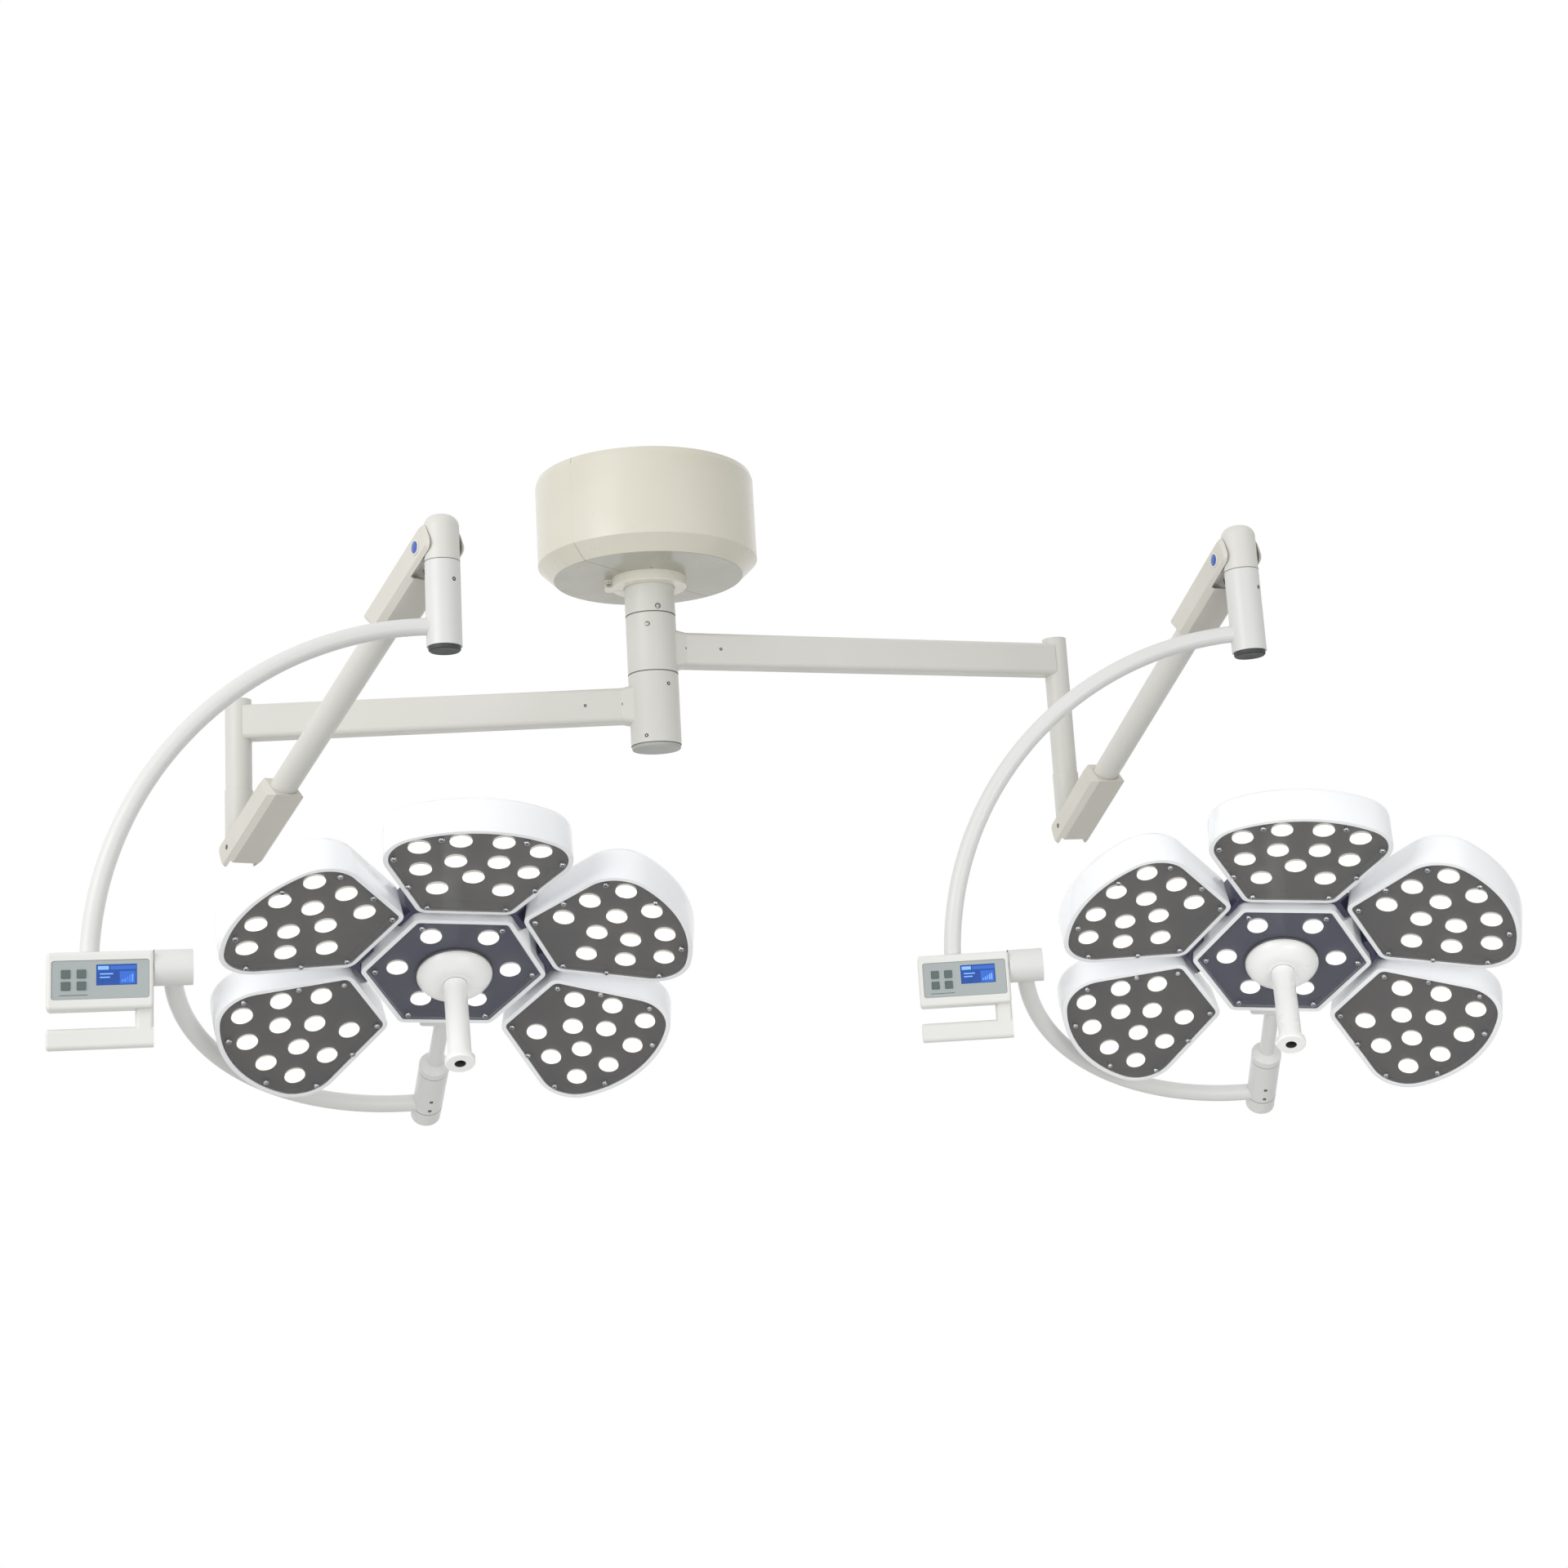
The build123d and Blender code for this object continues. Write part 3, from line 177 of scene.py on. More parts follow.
# %% One recipe for coats
def coat(name, colour, shade, roughness, peel, lift, drift=0.35, clear=0.0):
    """Pigmented coat: its colour drifts towards a shade, its gloss is uneven, and it has a fine peel."""
    material, tree, place = begin(name)
    slow = add(tree, "ShaderNodeTexNoise", Vector=place, Scale=per_mm(260), Detail=3.0)
    fine = add(tree, "ShaderNodeTexNoise", Vector=place, Scale=per_mm(peel), Detail=2.0)
    wipe = add(tree, "ShaderNodeTexNoise", Vector=place, Scale=per_mm(55), Detail=4.0, Roughness=0.6)
    amount = add(
        tree, "ShaderNodeMapRange", Value=slow.outputs["Fac"],
        From_Min=0.35, From_Max=0.65, To_Min=0.0, To_Max=drift,
    )
    colours = add(
        tree, "ShaderNodeMix", RGBA,
        in_0=amount.outputs["Result"], in_6=linear(colour), in_7=linear(shade),
    )
    gloss = add(
        tree, "ShaderNodeMapRange", Value=wipe.outputs["Fac"], From_Min=0.3, From_Max=0.7,
        To_Min=roughness * 0.85, To_Max=roughness * 1.2,
    )
    bump = add(tree, "ShaderNodeBump", Height=fine.outputs["Fac"], Strength=0.3, Distance=lift * MM)
    shell = add(
        tree, "ShaderNodeBsdfPrincipled", Base_Color=colours.outputs[2], Roughness=gloss.outputs["Result"],
        Normal=bump.outputs["Normal"], IOR=1.5, Coat_Weight=clear, Coat_Roughness=0.06,
    )
    return end(material, shell)


finishes = {
    # baked enamel on a spun steel canopy: warm white, glossy, with a faint drift from age
    "cream_enamel": coat("cream_baked_enamel", "EFECDF", "E4E1D2", 0.30, 4.0, 0.05, 0.6, 0.35),
    # polyester powder on aluminium tube: satin, slightly green-grey in the shade
    "arm_powder_coat": coat("arm_polyester_powder_coat", "DAD9D3", "D2D1C9", 0.42, 3.0, 0.08),
    # injection-moulded ABS covers: a little darker and duller than the tube beside them
    "cover_plastic": coat("cover_moulded_abs", "D7D5CB", "CECBC0", 0.46, 2.6, 0.05, 0.5),
    # newer powder on the bent yokes: whiter and a touch glossier
    "yoke_powder_coat": coat("yoke_polyester_powder_coat", "DCDCDA", "D5D5D2", 0.36, 3.0, 0.06),
    # moulded ABS control box, fine spark-eroded grain
    "housing_plastic": coat("control_box_moulded_abs", "E3E3DF", "DADAD4", 0.38, 2.6, 0.04),
    # gloss-sprayed petals: the skin is smooth enough to mirror the room softly
    "petal_gloss": coat("petal_gloss_lacquer", "F7F8FA", "F1F2F5", 0.20, 5.0, 0.02, 0.5, 0.5),
    # polyphenylsulfone handle that stands the autoclave: creamy white, satin
    "handle_plastic": coat("handle_autoclave_polymer", "FAFAF9", "F4F4F2", 0.30, 4.0, 0.02, 0.5, 0.15),
    # dark blue lacquer on the pressed carrier behind the petals
    "navy_enamel": coat("carrier_navy_lacquer", "3C3D5C", "33344E", 0.34, 3.0, 0.05, 0.5, 0.2),
    # moulded nylon plug in the stem's open end
    "dark_plug": coat("plug_moulded_nylon", "454748", "3B3C3D", 0.55, 2.0, 0.08, 0.6),
    # grey nylon disc that closes the column from below
    "grey_cap": coat("cap_moulded_grey_nylon", "B4B4B0", "A9A9A5", 0.5, 2.0, 0.06, 0.5),
    # polished coloured cap over the pivot screw
    "blue_cap": coat("cap_moulded_blue_abs", "3F5FB4", "34519F", 0.22, 3.0, 0.02, 0.4, 0.3),
    # silicone rubber keys
    "key_rubber": coat("key_silicone_rubber", "5C6B69", "536160", 0.62, 1.5, 0.06, 0.4),
    # silver-grey printed polyester film over the control panel
    "panel_film": coat("panel_printed_polyester", "A8AFAF", "9FA6A7", 0.33, 2.0, 0.03, 0.4, 0.2),
}
print(len(finishes), "coats mixed")

# %% [markdown]
# ## Zinc-plated steel
# The ceiling plate, its screws and the balance spring are steel with a thin bright zinc plating. A metal
# keeps the default index; its colour is its reflection, and turning marks stretch that reflection a little.

# %% Plated steel
def plated(name, colour, roughness, marks):
    """Bright metal with a faint crystal pattern and turning marks about every marks millimetres."""
    material, tree, place = begin(name)
    stretched = add(tree, "ShaderNodeMapping", Vector=place, Scale=(1.0, 1.0, 12.0))
    lines = add(tree, "ShaderNodeTexNoise", Vector=stretched.outputs[0], Scale=per_mm(marks), Detail=3.0)
    spangle = add(tree, "ShaderNodeTexVoronoi", Vector=place, Scale=per_mm(9))
    tone = add(
        tree, "ShaderNodeMix", RGBA, in_0=spangle.outputs["Distance"],
        in_6=linear(colour), in_7=linear("9B9EA3"),
    )
    low, high = roughness * 0.7, roughness * 1.3
    gloss = add(tree, "ShaderNodeMapRange", Value=lines.outputs["Fac"], To_Min=low, To_Max=high)
    bump = add(tree, "ShaderNodeBump", Height=lines.outputs["Fac"], Strength=0.2, Distance=0.05 * MM)
    shell = add(
        tree, "ShaderNodeBsdfPrincipled", Base_Color=tone.outputs[2], Metallic=1.0,
        Roughness=gloss.outputs["Result"], Normal=bump.outputs["Normal"],
    )
    return end(material, shell)


# zinc plating: grey-white, with a soft crystal pattern in its reflections
finishes["zinc_steel"] = plated("zinc_plated_steel", "C4C7CB", 0.34, 6)
# turned stainless screw heads: the brightest small points on the arms
stainless = plated("stainless_turned_screw", "D5D6D8", 0.26, 3)
# oil-blackened screws: small dark dots
blackened = coat("blackened_steel_screw", "3A3B3C", "2C2D2E", 0.4, 2.0, 0.03)
# nylon rings: a matt hairline between two satin tubes
gasket = coat("joint_ring_black_nylon", "6A6A66", "5A5A57", 0.6, 2.0, 0.03)
print("plated:", finishes["zinc_steel"].name, "and", stainless.name)

# %% [markdown]
# ## Canopy enamel
# The canopy is sprayed in one warm white, but the room's light hardly reaches its underside. So it carries
# painted shade: the enamel turns darker within a millimetre of the wall's lower edge.

# %% Enamel with painted shade on the underside
# height in metres where the underside's painted shade begins
UNDERSIDE_EDGE = (-0.1866, -0.1858)
canopy_enamel_painted_shade = coat("canopy_cream_enamel_painted_shade", "DDD9CB", "D2CEBD", 0.30, 4.0, 0.05, 0.6, 0.35)
canopy_tree = canopy_enamel_painted_shade.node_tree
canopy_coat = canopy_tree.nodes["Principled BSDF"]
canopy_place = add(canopy_tree, "ShaderNodeTexCoord").outputs["Object"]
rise = add(canopy_tree, "ShaderNodeSeparateXYZ", Vector=canopy_place)
# painted shade: below the wall's lower edge the enamel is mixed towards the darker B2B0A2
under = add(
    canopy_tree, "ShaderNodeMapRange", Value=rise.outputs["Z"],
    From_Min=UNDERSIDE_EDGE[0], From_Max=UNDERSIDE_EDGE[1], To_Min=1.0, To_Max=0.0,
)
blend = add(
    canopy_tree, "ShaderNodeMix", RGBA, in_0=under.outputs["Result"],
    in_6=canopy_coat.inputs["Base Color"].links[0].from_socket, in_7=linear("B2B0A2"),
)
canopy_tree.links.new(blend.outputs[2], canopy_coat.inputs["Base Color"])
print("enamel changes at", UNDERSIDE_EDGE, "m")

# %% [markdown]
# ## Smoked acrylic and the light behind it
# The windows are cast acrylic, dyed grey so that the modules behind them are only half seen. Cast sheet is
# very smooth, so its reflections are crisp but dim. The dye is drawn as a partly see-through grey: that
# keeps every lens visible, and it exports as plain transparency.

# %% Windows, lenses and boards
def smoked(name, colour, shade, see_through):
    """Dyed cast sheet: its tone drifts, and wiping has left its gloss a little uneven."""
    material, tree, place = begin(name)
    haze = add(tree, "ShaderNodeTexNoise", Vector=place, Scale=per_mm(120), Detail=2.0)
    tone = add(tree, "ShaderNodeMix", RGBA, in_0=haze.outputs["Fac"], in_6=linear(colour), in_7=linear(shade))
    wipe = add(tree, "ShaderNodeTexNoise", Vector=place, Scale=per_mm(40), Detail=5.0)
    gloss = add(tree, "ShaderNodeMapRange", Value=wipe.outputs["Fac"], To_Min=0.05, To_Max=0.16)
    sheet = add(
        tree, "ShaderNodeBsdfPrincipled", Base_Color=tone.outputs[2], Roughness=gloss.outputs["Result"],
        IOR=1.49, Alpha=1 - see_through, Coat_Weight=0.5, Coat_Roughness=0.05,
    )
    return end(material, sheet)


def glowing(name, colour, light, strength, roughness=0.25):
    """Clear moulded lens over a lit diode: most of what reaches the eye is its own light."""
    material, tree, place = begin(name)
    grain = add(tree, "ShaderNodeTexNoise", Vector=place, Scale=per_mm(6), Detail=2.0)
    tone = add(tree, "ShaderNodeMix", RGBA, in_0=grain.outputs["Fac"], in_6=linear(colour), in_7=linear(light))
    lens = add(
        tree, "ShaderNodeBsdfPrincipled", Base_Color=tone.outputs[2], Roughness=roughness, IOR=1.49,
        Emission_Color=linear(light), Emission_Strength=strength,
    )
    return end(material, lens)


# grey dye: the petals' windows look dark until a lens shines through
finishes["smoked_acrylic"] = smoked("petal_window_smoked_acrylic", "7A7776", "6C6B6D", 0.5)
# the centre sheet is a cooler dye lot: it turns navy beside the grey petals
centre_sheet = smoked("centre_window_smoked_acrylic", "6A6B78", "5A5B70", 0.5)
# domes over cool diodes: bright enough to clear the smoke twice, once in and once out
cool_lens = glowing("lens_moulded_acrylic_cool_white", "F4F6F8", "F6FAFF", 5.6)
# domes over warm diodes: the same light, a touch creamier
warm_lens = glowing("lens_moulded_acrylic_warm_white", "F8F4E8", "FFF6D8", 4.6)
# frosted collar of each lens, which the diode lights from inside
lens_rim = glowing("lens_rim_frosted_acrylic", "D8D6CC", "FFFCF2", 3.0, 0.5)
# satin reflector cup with a painted glow: its emission stands for the diode's spilled light, a soft halo round the
# lens
cup_glow = glowing("reflector_cup_satin_aluminised", "D8D8D4", "FFFDF6", 1.5, 0.4)
finishes["led_lens"] = cool_lens
# solder resist: a flat black ground that makes the lenses stand out
board = coat("module_board_black_solder_resist", "4A4946", "3E3D3C", 0.5, 2.0, 0.03)
# backlit display glass: deep blue, with a brighter header and pale segments
finishes["display_glass"] = glowing("display_backlit_glass", "14336A", "1D4B9C", 0.42, 0.12)
header_glass = glowing("display_lit_header", "2B58AC", "2A5CB4", 0.5, 0.2)
bright_segments = glowing("display_lit_segments", "7FA6DC", "5E8FD8", 0.9, 0.3)
# screen-printed ink: one thin dark rule on the silver film
dark_print = coat("printed_dark_ink", "5B6263", "535A5B", 0.5, 2.0, 0.01)
print(len(bpy.data.materials), "materials in all")

# %% [markdown]
# ## Dressing the CAD nodes
# Every node names a material slot in the record, so one loop dresses them all. The CAD mesh stays as it is.

# %% Assign the finishes
for part in frame["record"]["subparts"]:
    node = nodes[part["node"]]
    node.data.materials.clear()
    node.data.materials.append(finishes[part["material_slot"]])
nodes["column_end_cap"].data.materials[0] = finishes["grey_cap"]
nodes["canopy_shell"].data.materials[0] = canopy_enamel_painted_shade
for side in SIDES:
    nodes[f"{side}_center_window"].data.materials[0] = centre_sheet

# %% [markdown]
# ## Drawing small pieces
# Screws, rings and lenses are turned parts, so a lathe function spins a profile about its local z axis; its
# first points may follow a hexagon, for a socket. Shells, boards and marks are lofts through like outlines.
# Both write into one bmesh, and a last function makes the object and lets it ride on its body.

# %% Lathe, loft and piece
def lathe(mesh, place, profile, steps=32, six_sided=0):
    """Spin (radius, height) points in millimetres about z; the first six_sided points follow a hexagon."""
    rings = []
    for index, (radius, height) in enumerate(profile):
        ring = []
        for step in range(steps if radius else 1):
            angle = tau * step / steps
            reach = radius
            if index < six_sided:
                reach = radius * cos(pi / 6) / cos((angle + pi / 6) % (pi / 3) - pi / 6)
            spot = Vector((reach * cos(angle), reach * sin(angle), height)) * MM
            ring.append(mesh.verts.new(place @ spot))
        rings.append(ring)
    for low, high in zip(rings, rings[1:]):
        for step in range(steps):
            following = (step + 1) % steps
            corners = [
                low[step % len(low)], low[following % len(low)],
                high[following % len(high)], high[step % len(high)],
            ]
            mesh.faces.new(list(dict.fromkeys(corners)))


def loft(mesh, place, levels):
    """One closed skin through like outlines of (x, y) millimetres, each at its own height."""
    rings = [
        [mesh.verts.new(place @ (Vector((x, y, z)) * MM)) for x, y in outline] for outline, z in levels
    ]
    for low, high in zip(rings, rings[1:]):
        for i in range(len(low)):
            j = (i + 1) % len(low)
            mesh.faces.new((low[i], low[j], high[j], high[i]))
    mesh.faces.new(rings[0][::-1])
    mesh.faces.new(rings[-1])


def prism(mesh, place, outline, low, high):
    """Raise an outline of (x, y) millimetres from one height to another."""
    loft(mesh, place, [(outline, low), (outline, high)])


def piece(name, mesh, material, body, bevel=0.0):
    """Make the object, smooth but for its real edges, and let it ride on a body."""
    bmesh.ops.recalc_face_normals(mesh, faces=mesh.faces)
    data = bpy.data.meshes.new(name)
    mesh.to_mesh(data)
    mesh.free()
    data.shade_smooth()
    data.set_sharp_from_angle(angle=radians(35))
    data.materials.append(material)
    made = bpy.data.objects.new(name, data)
    bpy.context.scene.collection.objects.link(made)
    if bevel:
        rounding = made.modifiers.new("rounded_edges", "BEVEL")
        rounding.width = bevel * MM
        rounding.segments = 2
        rounding.limit_method = "ANGLE"
    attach(made, body)
    return made


def rounded(width, height, corner, steps=5):
    """Outline of a rectangle with round corners."""
    points = []
    for quarter, (across, up) in enumerate(((1, 1), (-1, 1), (-1, -1), (1, -1))):
        x, y = across * (width / 2 - corner), up * (height / 2 - corner)
        for step in range(steps + 1):
            angle = quarter * pi / 2 + step * pi / 2 / steps
            points.append((x + corner * cos(angle), y + corner * sin(angle)))
    return points


def spoke(angle, length=1.0):
    """Plane vector at an angle in degrees."""
    return Vector((cos(radians(angle)), sin(radians(angle)))) * length


def arcs(corners, margin=0.0):
    """Outline through round corners (x, y, radius, from, to, steps), widened by a margin all round."""
    points, passed = [], []
    for x, y, radius, start, stop, steps in corners:
        for step in range(steps + 1):
            outward = spoke(start + (stop - start) * step / steps)
            spot = Vector((x, y)) + outward * radius
            if not any((spot - other).length < 0.2 for other in passed[:1] + passed[-1:]):
                passed.append(spot)
                points.append(tuple(spot + outward * margin))
    return points


def stacked(mesh, place, outline, sections):
    """Loft an outline of round corners through sections, each a margin and a height."""
    loft(mesh, place, [(arcs(outline, margin), z) for margin, z in sections])


def screw(mesh, place, radius, height):
    """Button-head screw with a hexagon socket, seated on the frame's plane."""
    socket = radius * 0.5
    profile = [
        (0, height * 0.2), (socket, height * 0.2), (socket, height * 0.92), (radius * 0.68, height),
        (radius * 0.93, height * 0.7), (radius, height * 0.25), (radius, 0), (0, 0),
    ]
    lathe(mesh, place, profile, 24, six_sided=3)


# %% [markdown]
# ## Joints you can see
# Where one tube turns on the next, a nylon ring fills the gap and shows as a hairline. The real gap is a
# few tenths of a millimetre; the ring stands a hair proud so that the line reads from across a room.

# %% Joint rings
RING_WALL, RING_PROUD = 1.5, 0.15


def joint_ring(name, place, radius, height, body):
    """Nylon ring round a joint, centred on the frame's plane."""
    mesh = bmesh.new()
    inside, proud = radius - RING_WALL, radius + RING_PROUD
    profile = [
        (inside, -height / 2), (radius, -height / 2), (proud, -height / 4), (proud, height / 4),
        (radius, height / 2), (inside, height / 2), (inside, -height / 2),
    ]
    lathe(mesh, place, profile, 64)
    return piece(name, mesh, gasket, body)


COLUMN_RADIUS, TUBE_RADIUS, STEM_RADIUS, DRUM_RADIUS, SOCKET_RADIUS = 45.5, 24.2, 26.5, 25, 23
HANDLE_RADIUS, HANDLE_BASE_TOP = 16.5, 45.2
# distances from the head's centre, along the yoke's hinge and the head's tilt axis
DRUM_SEAM, SOCKET_SEAM, SOCKET_CAP_SEAM = 411.9, 261.9, 352
SEAM = 1.2
column = local(Vector((0, 0, 0)), Vector((1, 0, 0)), UP)
hub_top = {side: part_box(f"{side}_extension_arm")[1].z / MM for side in SIDES}
cap_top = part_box("column_end_cap")[1].z / MM
joint_ring("upper_hub_ring", shifted(column, z=hub_top["right"]), COLUMN_RADIUS, SEAM, "ceiling_mount")
joint_ring("lower_hub_ring", shifted(column, z=hub_top["left"]), COLUMN_RADIUS, SEAM, "right_arm")
joint_ring("end_cap_ring", shifted(column, z=cap_top), COLUMN_RADIUS - 0.6, SEAM, "ceiling_mount")
for side in SIDES:
    drop, stem, head = units[side]["drop"], units[side]["stem"], units[side]["head"]
    hinge, tilt = facing(units[side]["yoke"], (1, 0, 0)), facing(units[side]["cradle"], (0, 1, 0))
    tube_end = (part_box(f"{side}_extension_arm")[0].z - drop.translation.z) / MM
    stem_top = (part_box(f"{side}_head_block")[0].z - stem.translation.z) / MM
    for name, place, radius, height, body in (
        ("knuckle_ring", shifted(drop, z=tube_end), TUBE_RADIUS, SEAM, "knuckle"),
        ("stem_ring", shifted(stem, z=stem_top), STEM_RADIUS, SEAM, "head_block"),
        ("drum_ring", shifted(hinge, z=DRUM_SEAM), DRUM_RADIUS, SEAM, "upper_yoke"),
        ("head_ring", shifted(tilt, z=SOCKET_SEAM), SOCKET_RADIUS, SEAM, "lower_yoke"),
        ("socket_cap_ring", shifted(tilt, z=SOCKET_CAP_SEAM), SOCKET_RADIUS, SEAM, "lower_yoke"),
        ("handle_ring", shifted(head, z=HANDLE_BASE_TOP), HANDLE_RADIUS, 0.8, "head"),
    ):
        joint_ring(f"{side}_{name}", place, radius, height, f"{side}_{body}")
print("rings at", round(hub_top["right"]), round(hub_top["left"]), "mm")

# %% [markdown]
# ## Set screws and clamp screws
# Set screws lock each swivel, and a clamp screw pinches the collar under the canopy. On a round tube a screw
# is placed by its height and its bearing.

# %% Screws on the column and arms
def on_tube(place, radius, bearing, height):
    """Frame on a tube's skin: z points outward at a bearing about the frame's z, 0 towards world +X."""
    outward = spoke(bearing).to_3d()
    origin = place.translation + outward * radius * MM + UP * height * MM
    return local(origin, UP, outward)


def screws(name, places, radius, height, material, body):
    """One piece that holds a screw at each place."""
    mesh = bmesh.new()
    for place in places:
        screw(mesh, place, radius, height)
    return piece(name, mesh, material, body)


COLUMN_SKIN = 45
column_place = on_tube(column, COLUMN_SKIN, -68, hub_top["right"] + 9)
upper_place = on_tube(column, COLUMN_SKIN, -94, hub_top["right"] - 24)
screws("column_set_screw", [column_place], 4.2, 1.2, stainless, "ceiling_mount")
screws("upper_hub_set_screw", [upper_place], 3.6, 1.0, stainless, "right_arm")
for name, place, radius, body in (
    ("column_screw_ring", column_place, 5.2, "ceiling_mount"),
    ("upper_hub_screw_ring", upper_place, 4.5, "right_arm"),
):
    mesh = bmesh.new()
    edge = radius - 0.9
    lathe(mesh, place, [(edge, 0.1), (edge + 0.2, 0.75), (radius, 0.6), (radius + 0.2, 0), (edge, 0.1)], 28)
    piece(name, mesh, blackened, body)
lower_hub_places = [
    on_tube(column, COLUMN_SKIN, bearing, height)
    for bearing, height in ((-50, hub_top["left"] - 25), (-108, cap_top + 12))
]
screws("lower_hub_set_screws", lower_hub_places, 3.6, 1.0, blackened, "left_arm")
collar_ear = local(Vector((-73, -11.5, -196)) * MM, UP, Vector((0, -1, 0)))
screws("collar_clamp_screw", [collar_ear], 5, 4, stainless, "ceiling_mount")
print("column dressed with", 3 + len(lower_hub_places), "screws")

# %% [markdown]
# Beam, drop tube, stem and socket each carry one or two small screws on the side that faces the room.

# %% Screws on each lamp unit
BEAM_SKIN, TUBE_SKIN, STEM_SKIN, SOCKET_SKIN = 22.8, 22.8, 26.2, 22.8
BEAM_SCREW_DROP = {"left": 56, "right": 63}
TUBE_SCREW_BEARING = {"left": -165, "right": -150}
for side in SIDES:
    unit = units[side]
    beam_along = unit["drop"].translation.copy()
    beam_along.z = 0
    beam_depth = hub_top[side] - BEAM_SCREW_DROP[side]
    toward_viewer = beam_along.cross(UP) * (1 if beam_along.x > 0 else -1)
    beam_skin = UP * beam_depth * MM + toward_viewer.normalized() * BEAM_SKIN * MM
    beam_side = local(beam_skin, beam_along, toward_viewer)
    cradle, tilt_axis = unit["cradle"], axis_of(f"{side}_head_tilt")
    beam_places = [shifted(beam_side, x=reach) for reach in (56, 124)]
    tube_places = [on_tube(unit["drop"], TUBE_SKIN, TUBE_SCREW_BEARING[side], 49)]
    stem_places = [on_tube(unit["stem"], STEM_SKIN, -41, -36)]
    socket_places = [
        local(cradle @ (Vector((0, reach, SOCKET_SKIN)) * MM), tilt_axis, cradle.col[2].xyz)
        for reach in (318, 341)
    ]
    for name, places, radius, height, body in (
        ("beam_screws", beam_places, 2.8, 0.8, "arm"),
        ("tube_screw", tube_places, 2.8, 0.8, "arm"),
        ("stem_screw", stem_places, 3.2, 0.9, "upper_yoke"),
        ("socket_screws", socket_places, 2.8, 0.8, "lower_yoke"),
    ):
        screws(f"{side}_{name}", places, radius, height, blackened, f"{side}_{body}")
    print(side, "unit dressed with", len(beam_places) + len(socket_places) + 2, "screws")

# %% [markdown]
# ## Pivot covers
# Each end of a spring arm turns inside a moulded cover: two cheeks beside the pivot, then a slim box round
# the tube with bevelled edges and a raked lip. The CAD's covers are plainer and wider. Each of these is a
# bevelled block less its cavity, two openings round the pivot and the hole for the tube.

# %% Covers
def inset(outline, amount):
    """A counterclockwise outline moved inward by an amount, with its corners kept."""
    moved = []
    for i, corner in enumerate(outline):
        here = Vector(corner)
        before = (here - Vector(outline[i - 1])).normalized().orthogonal()
        after = (Vector(outline[(i + 1) % len(outline)]) - here).normalized().orthogonal()
        moved.append(tuple(here + (before + after) * amount / (1 + before.dot(after))))
    return moved


def carved(block, cutters):
    """A block less each cutter, by boolean modifiers on passing objects."""
    passing = []
    for mesh in [block] + cutters:
        bmesh.ops.recalc_face_normals(mesh, faces=mesh.faces)
        data = bpy.data.meshes.new("passing")
        mesh.to_mesh(data)
        mesh.free()
        passing.append(bpy.data.objects.new("passing", data))
        bpy.context.scene.collection.objects.link(passing[-1])
    for cutter in passing[1:]:
        cut = passing[0].modifiers.new("cut", "BOOLEAN")
        cut.operation, cut.solver, cut.object = "DIFFERENCE", "EXACT", cutter
    result = bmesh.new()
    seen = passing[0].evaluated_get(bpy.context.evaluated_depsgraph_get())
    result.from_mesh(bpy.data.meshes.new_from_object(seen))
    for spare in passing:
        bpy.data.objects.remove(spare)
    return result


COVER_HALF, COVER_BEVEL, COVER_WALL, COVER_DEPTH, COVER_CORNER = 33, 9, 3, 27, 18
# a 45 degree bevel narrows by 2 - sqrt(2) of the wall on its inside
CAVITY_BEVEL = COVER_BEVEL - 0.586 * COVER_WALL
TUBE_HOLE = [(0, 30), (22.1, 30), (22.1, 210), (0, 210)]
OPENING_LENGTH, OPENING_DEPTH, OPENING_HALF = 120, 54, 27.7
# per cover: how far its back and the end of its second opening lie from the pivot
COVERS = {"lower": (41, -8), "upper": (38, 36)}
for side in SIDES:
    lower, upper = units[side]["lower_pivot"], units[side]["upper_pivot"]
    turned = local(upper.translation, -lower.col[0].xyz, -lower.col[2].xyz)
    for name, place in (("lower", lower), ("upper", turned)):
        back, second_end = COVERS[name]
        cheek = local(place.translation, place.col[0].xyz, -place.col[1].xyz)
        cover_side = [(195, -COVER_DEPTH), (169, COVER_DEPTH)]
        cover_side += arcs([
            (COVER_CORNER - back, 9, COVER_CORNER, 90, 180, 6),
            (COVER_CORNER - back, -9, COVER_CORNER, 180, 270, 6),
        ])
        shapes = []
        for wall, bevel in ((0, COVER_BEVEL), (COVER_WALL, CAVITY_BEVEL)):
            half = COVER_HALF - wall
            flat, slim = inset(cover_side, wall), inset(cover_side, wall + bevel)
            shapes.append(bmesh.new())
            sections = [(slim, -half), (flat, bevel - half), (flat, half - bevel), (slim, half)]
            loft(shapes[-1], cheek, sections)
        for end_x, middle in ((40, 26.5), (second_end, -26.5)):
            shapes.append(bmesh.new())
            opening = [
                (end_x - OPENING_LENGTH / 2 + x, middle + y)
                for x, y in rounded(OPENING_LENGTH, OPENING_DEPTH, 0.5, 1)
            ]
            prism(shapes[-1], cheek, opening, -OPENING_HALF, OPENING_HALF)
        shapes.append(bmesh.new())
        lathe(shapes[-1], local(place.translation, place.col[1].xyz, place.col[0].xyz), TUBE_HOLE, 64)
        slot, shell = "cover_plastic", carved(shapes[0], shapes[1:])
        cover = piece(f"{side}_{name}_cover_shell", shell, finishes[slot], f"{side}_spring_arm", 0.8)
        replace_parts(cover, f"{side}_{name}_cover")
        print(side, name, "cover:", len(cover.data.polygons), "faces")

# %% [markdown]
# ## Knuckle ball and head block hood
# The knuckle ends in a ball that rolls between the cheeks of the lower cover. At the other end a hood
# carries the head block's dome over the upper pivot.

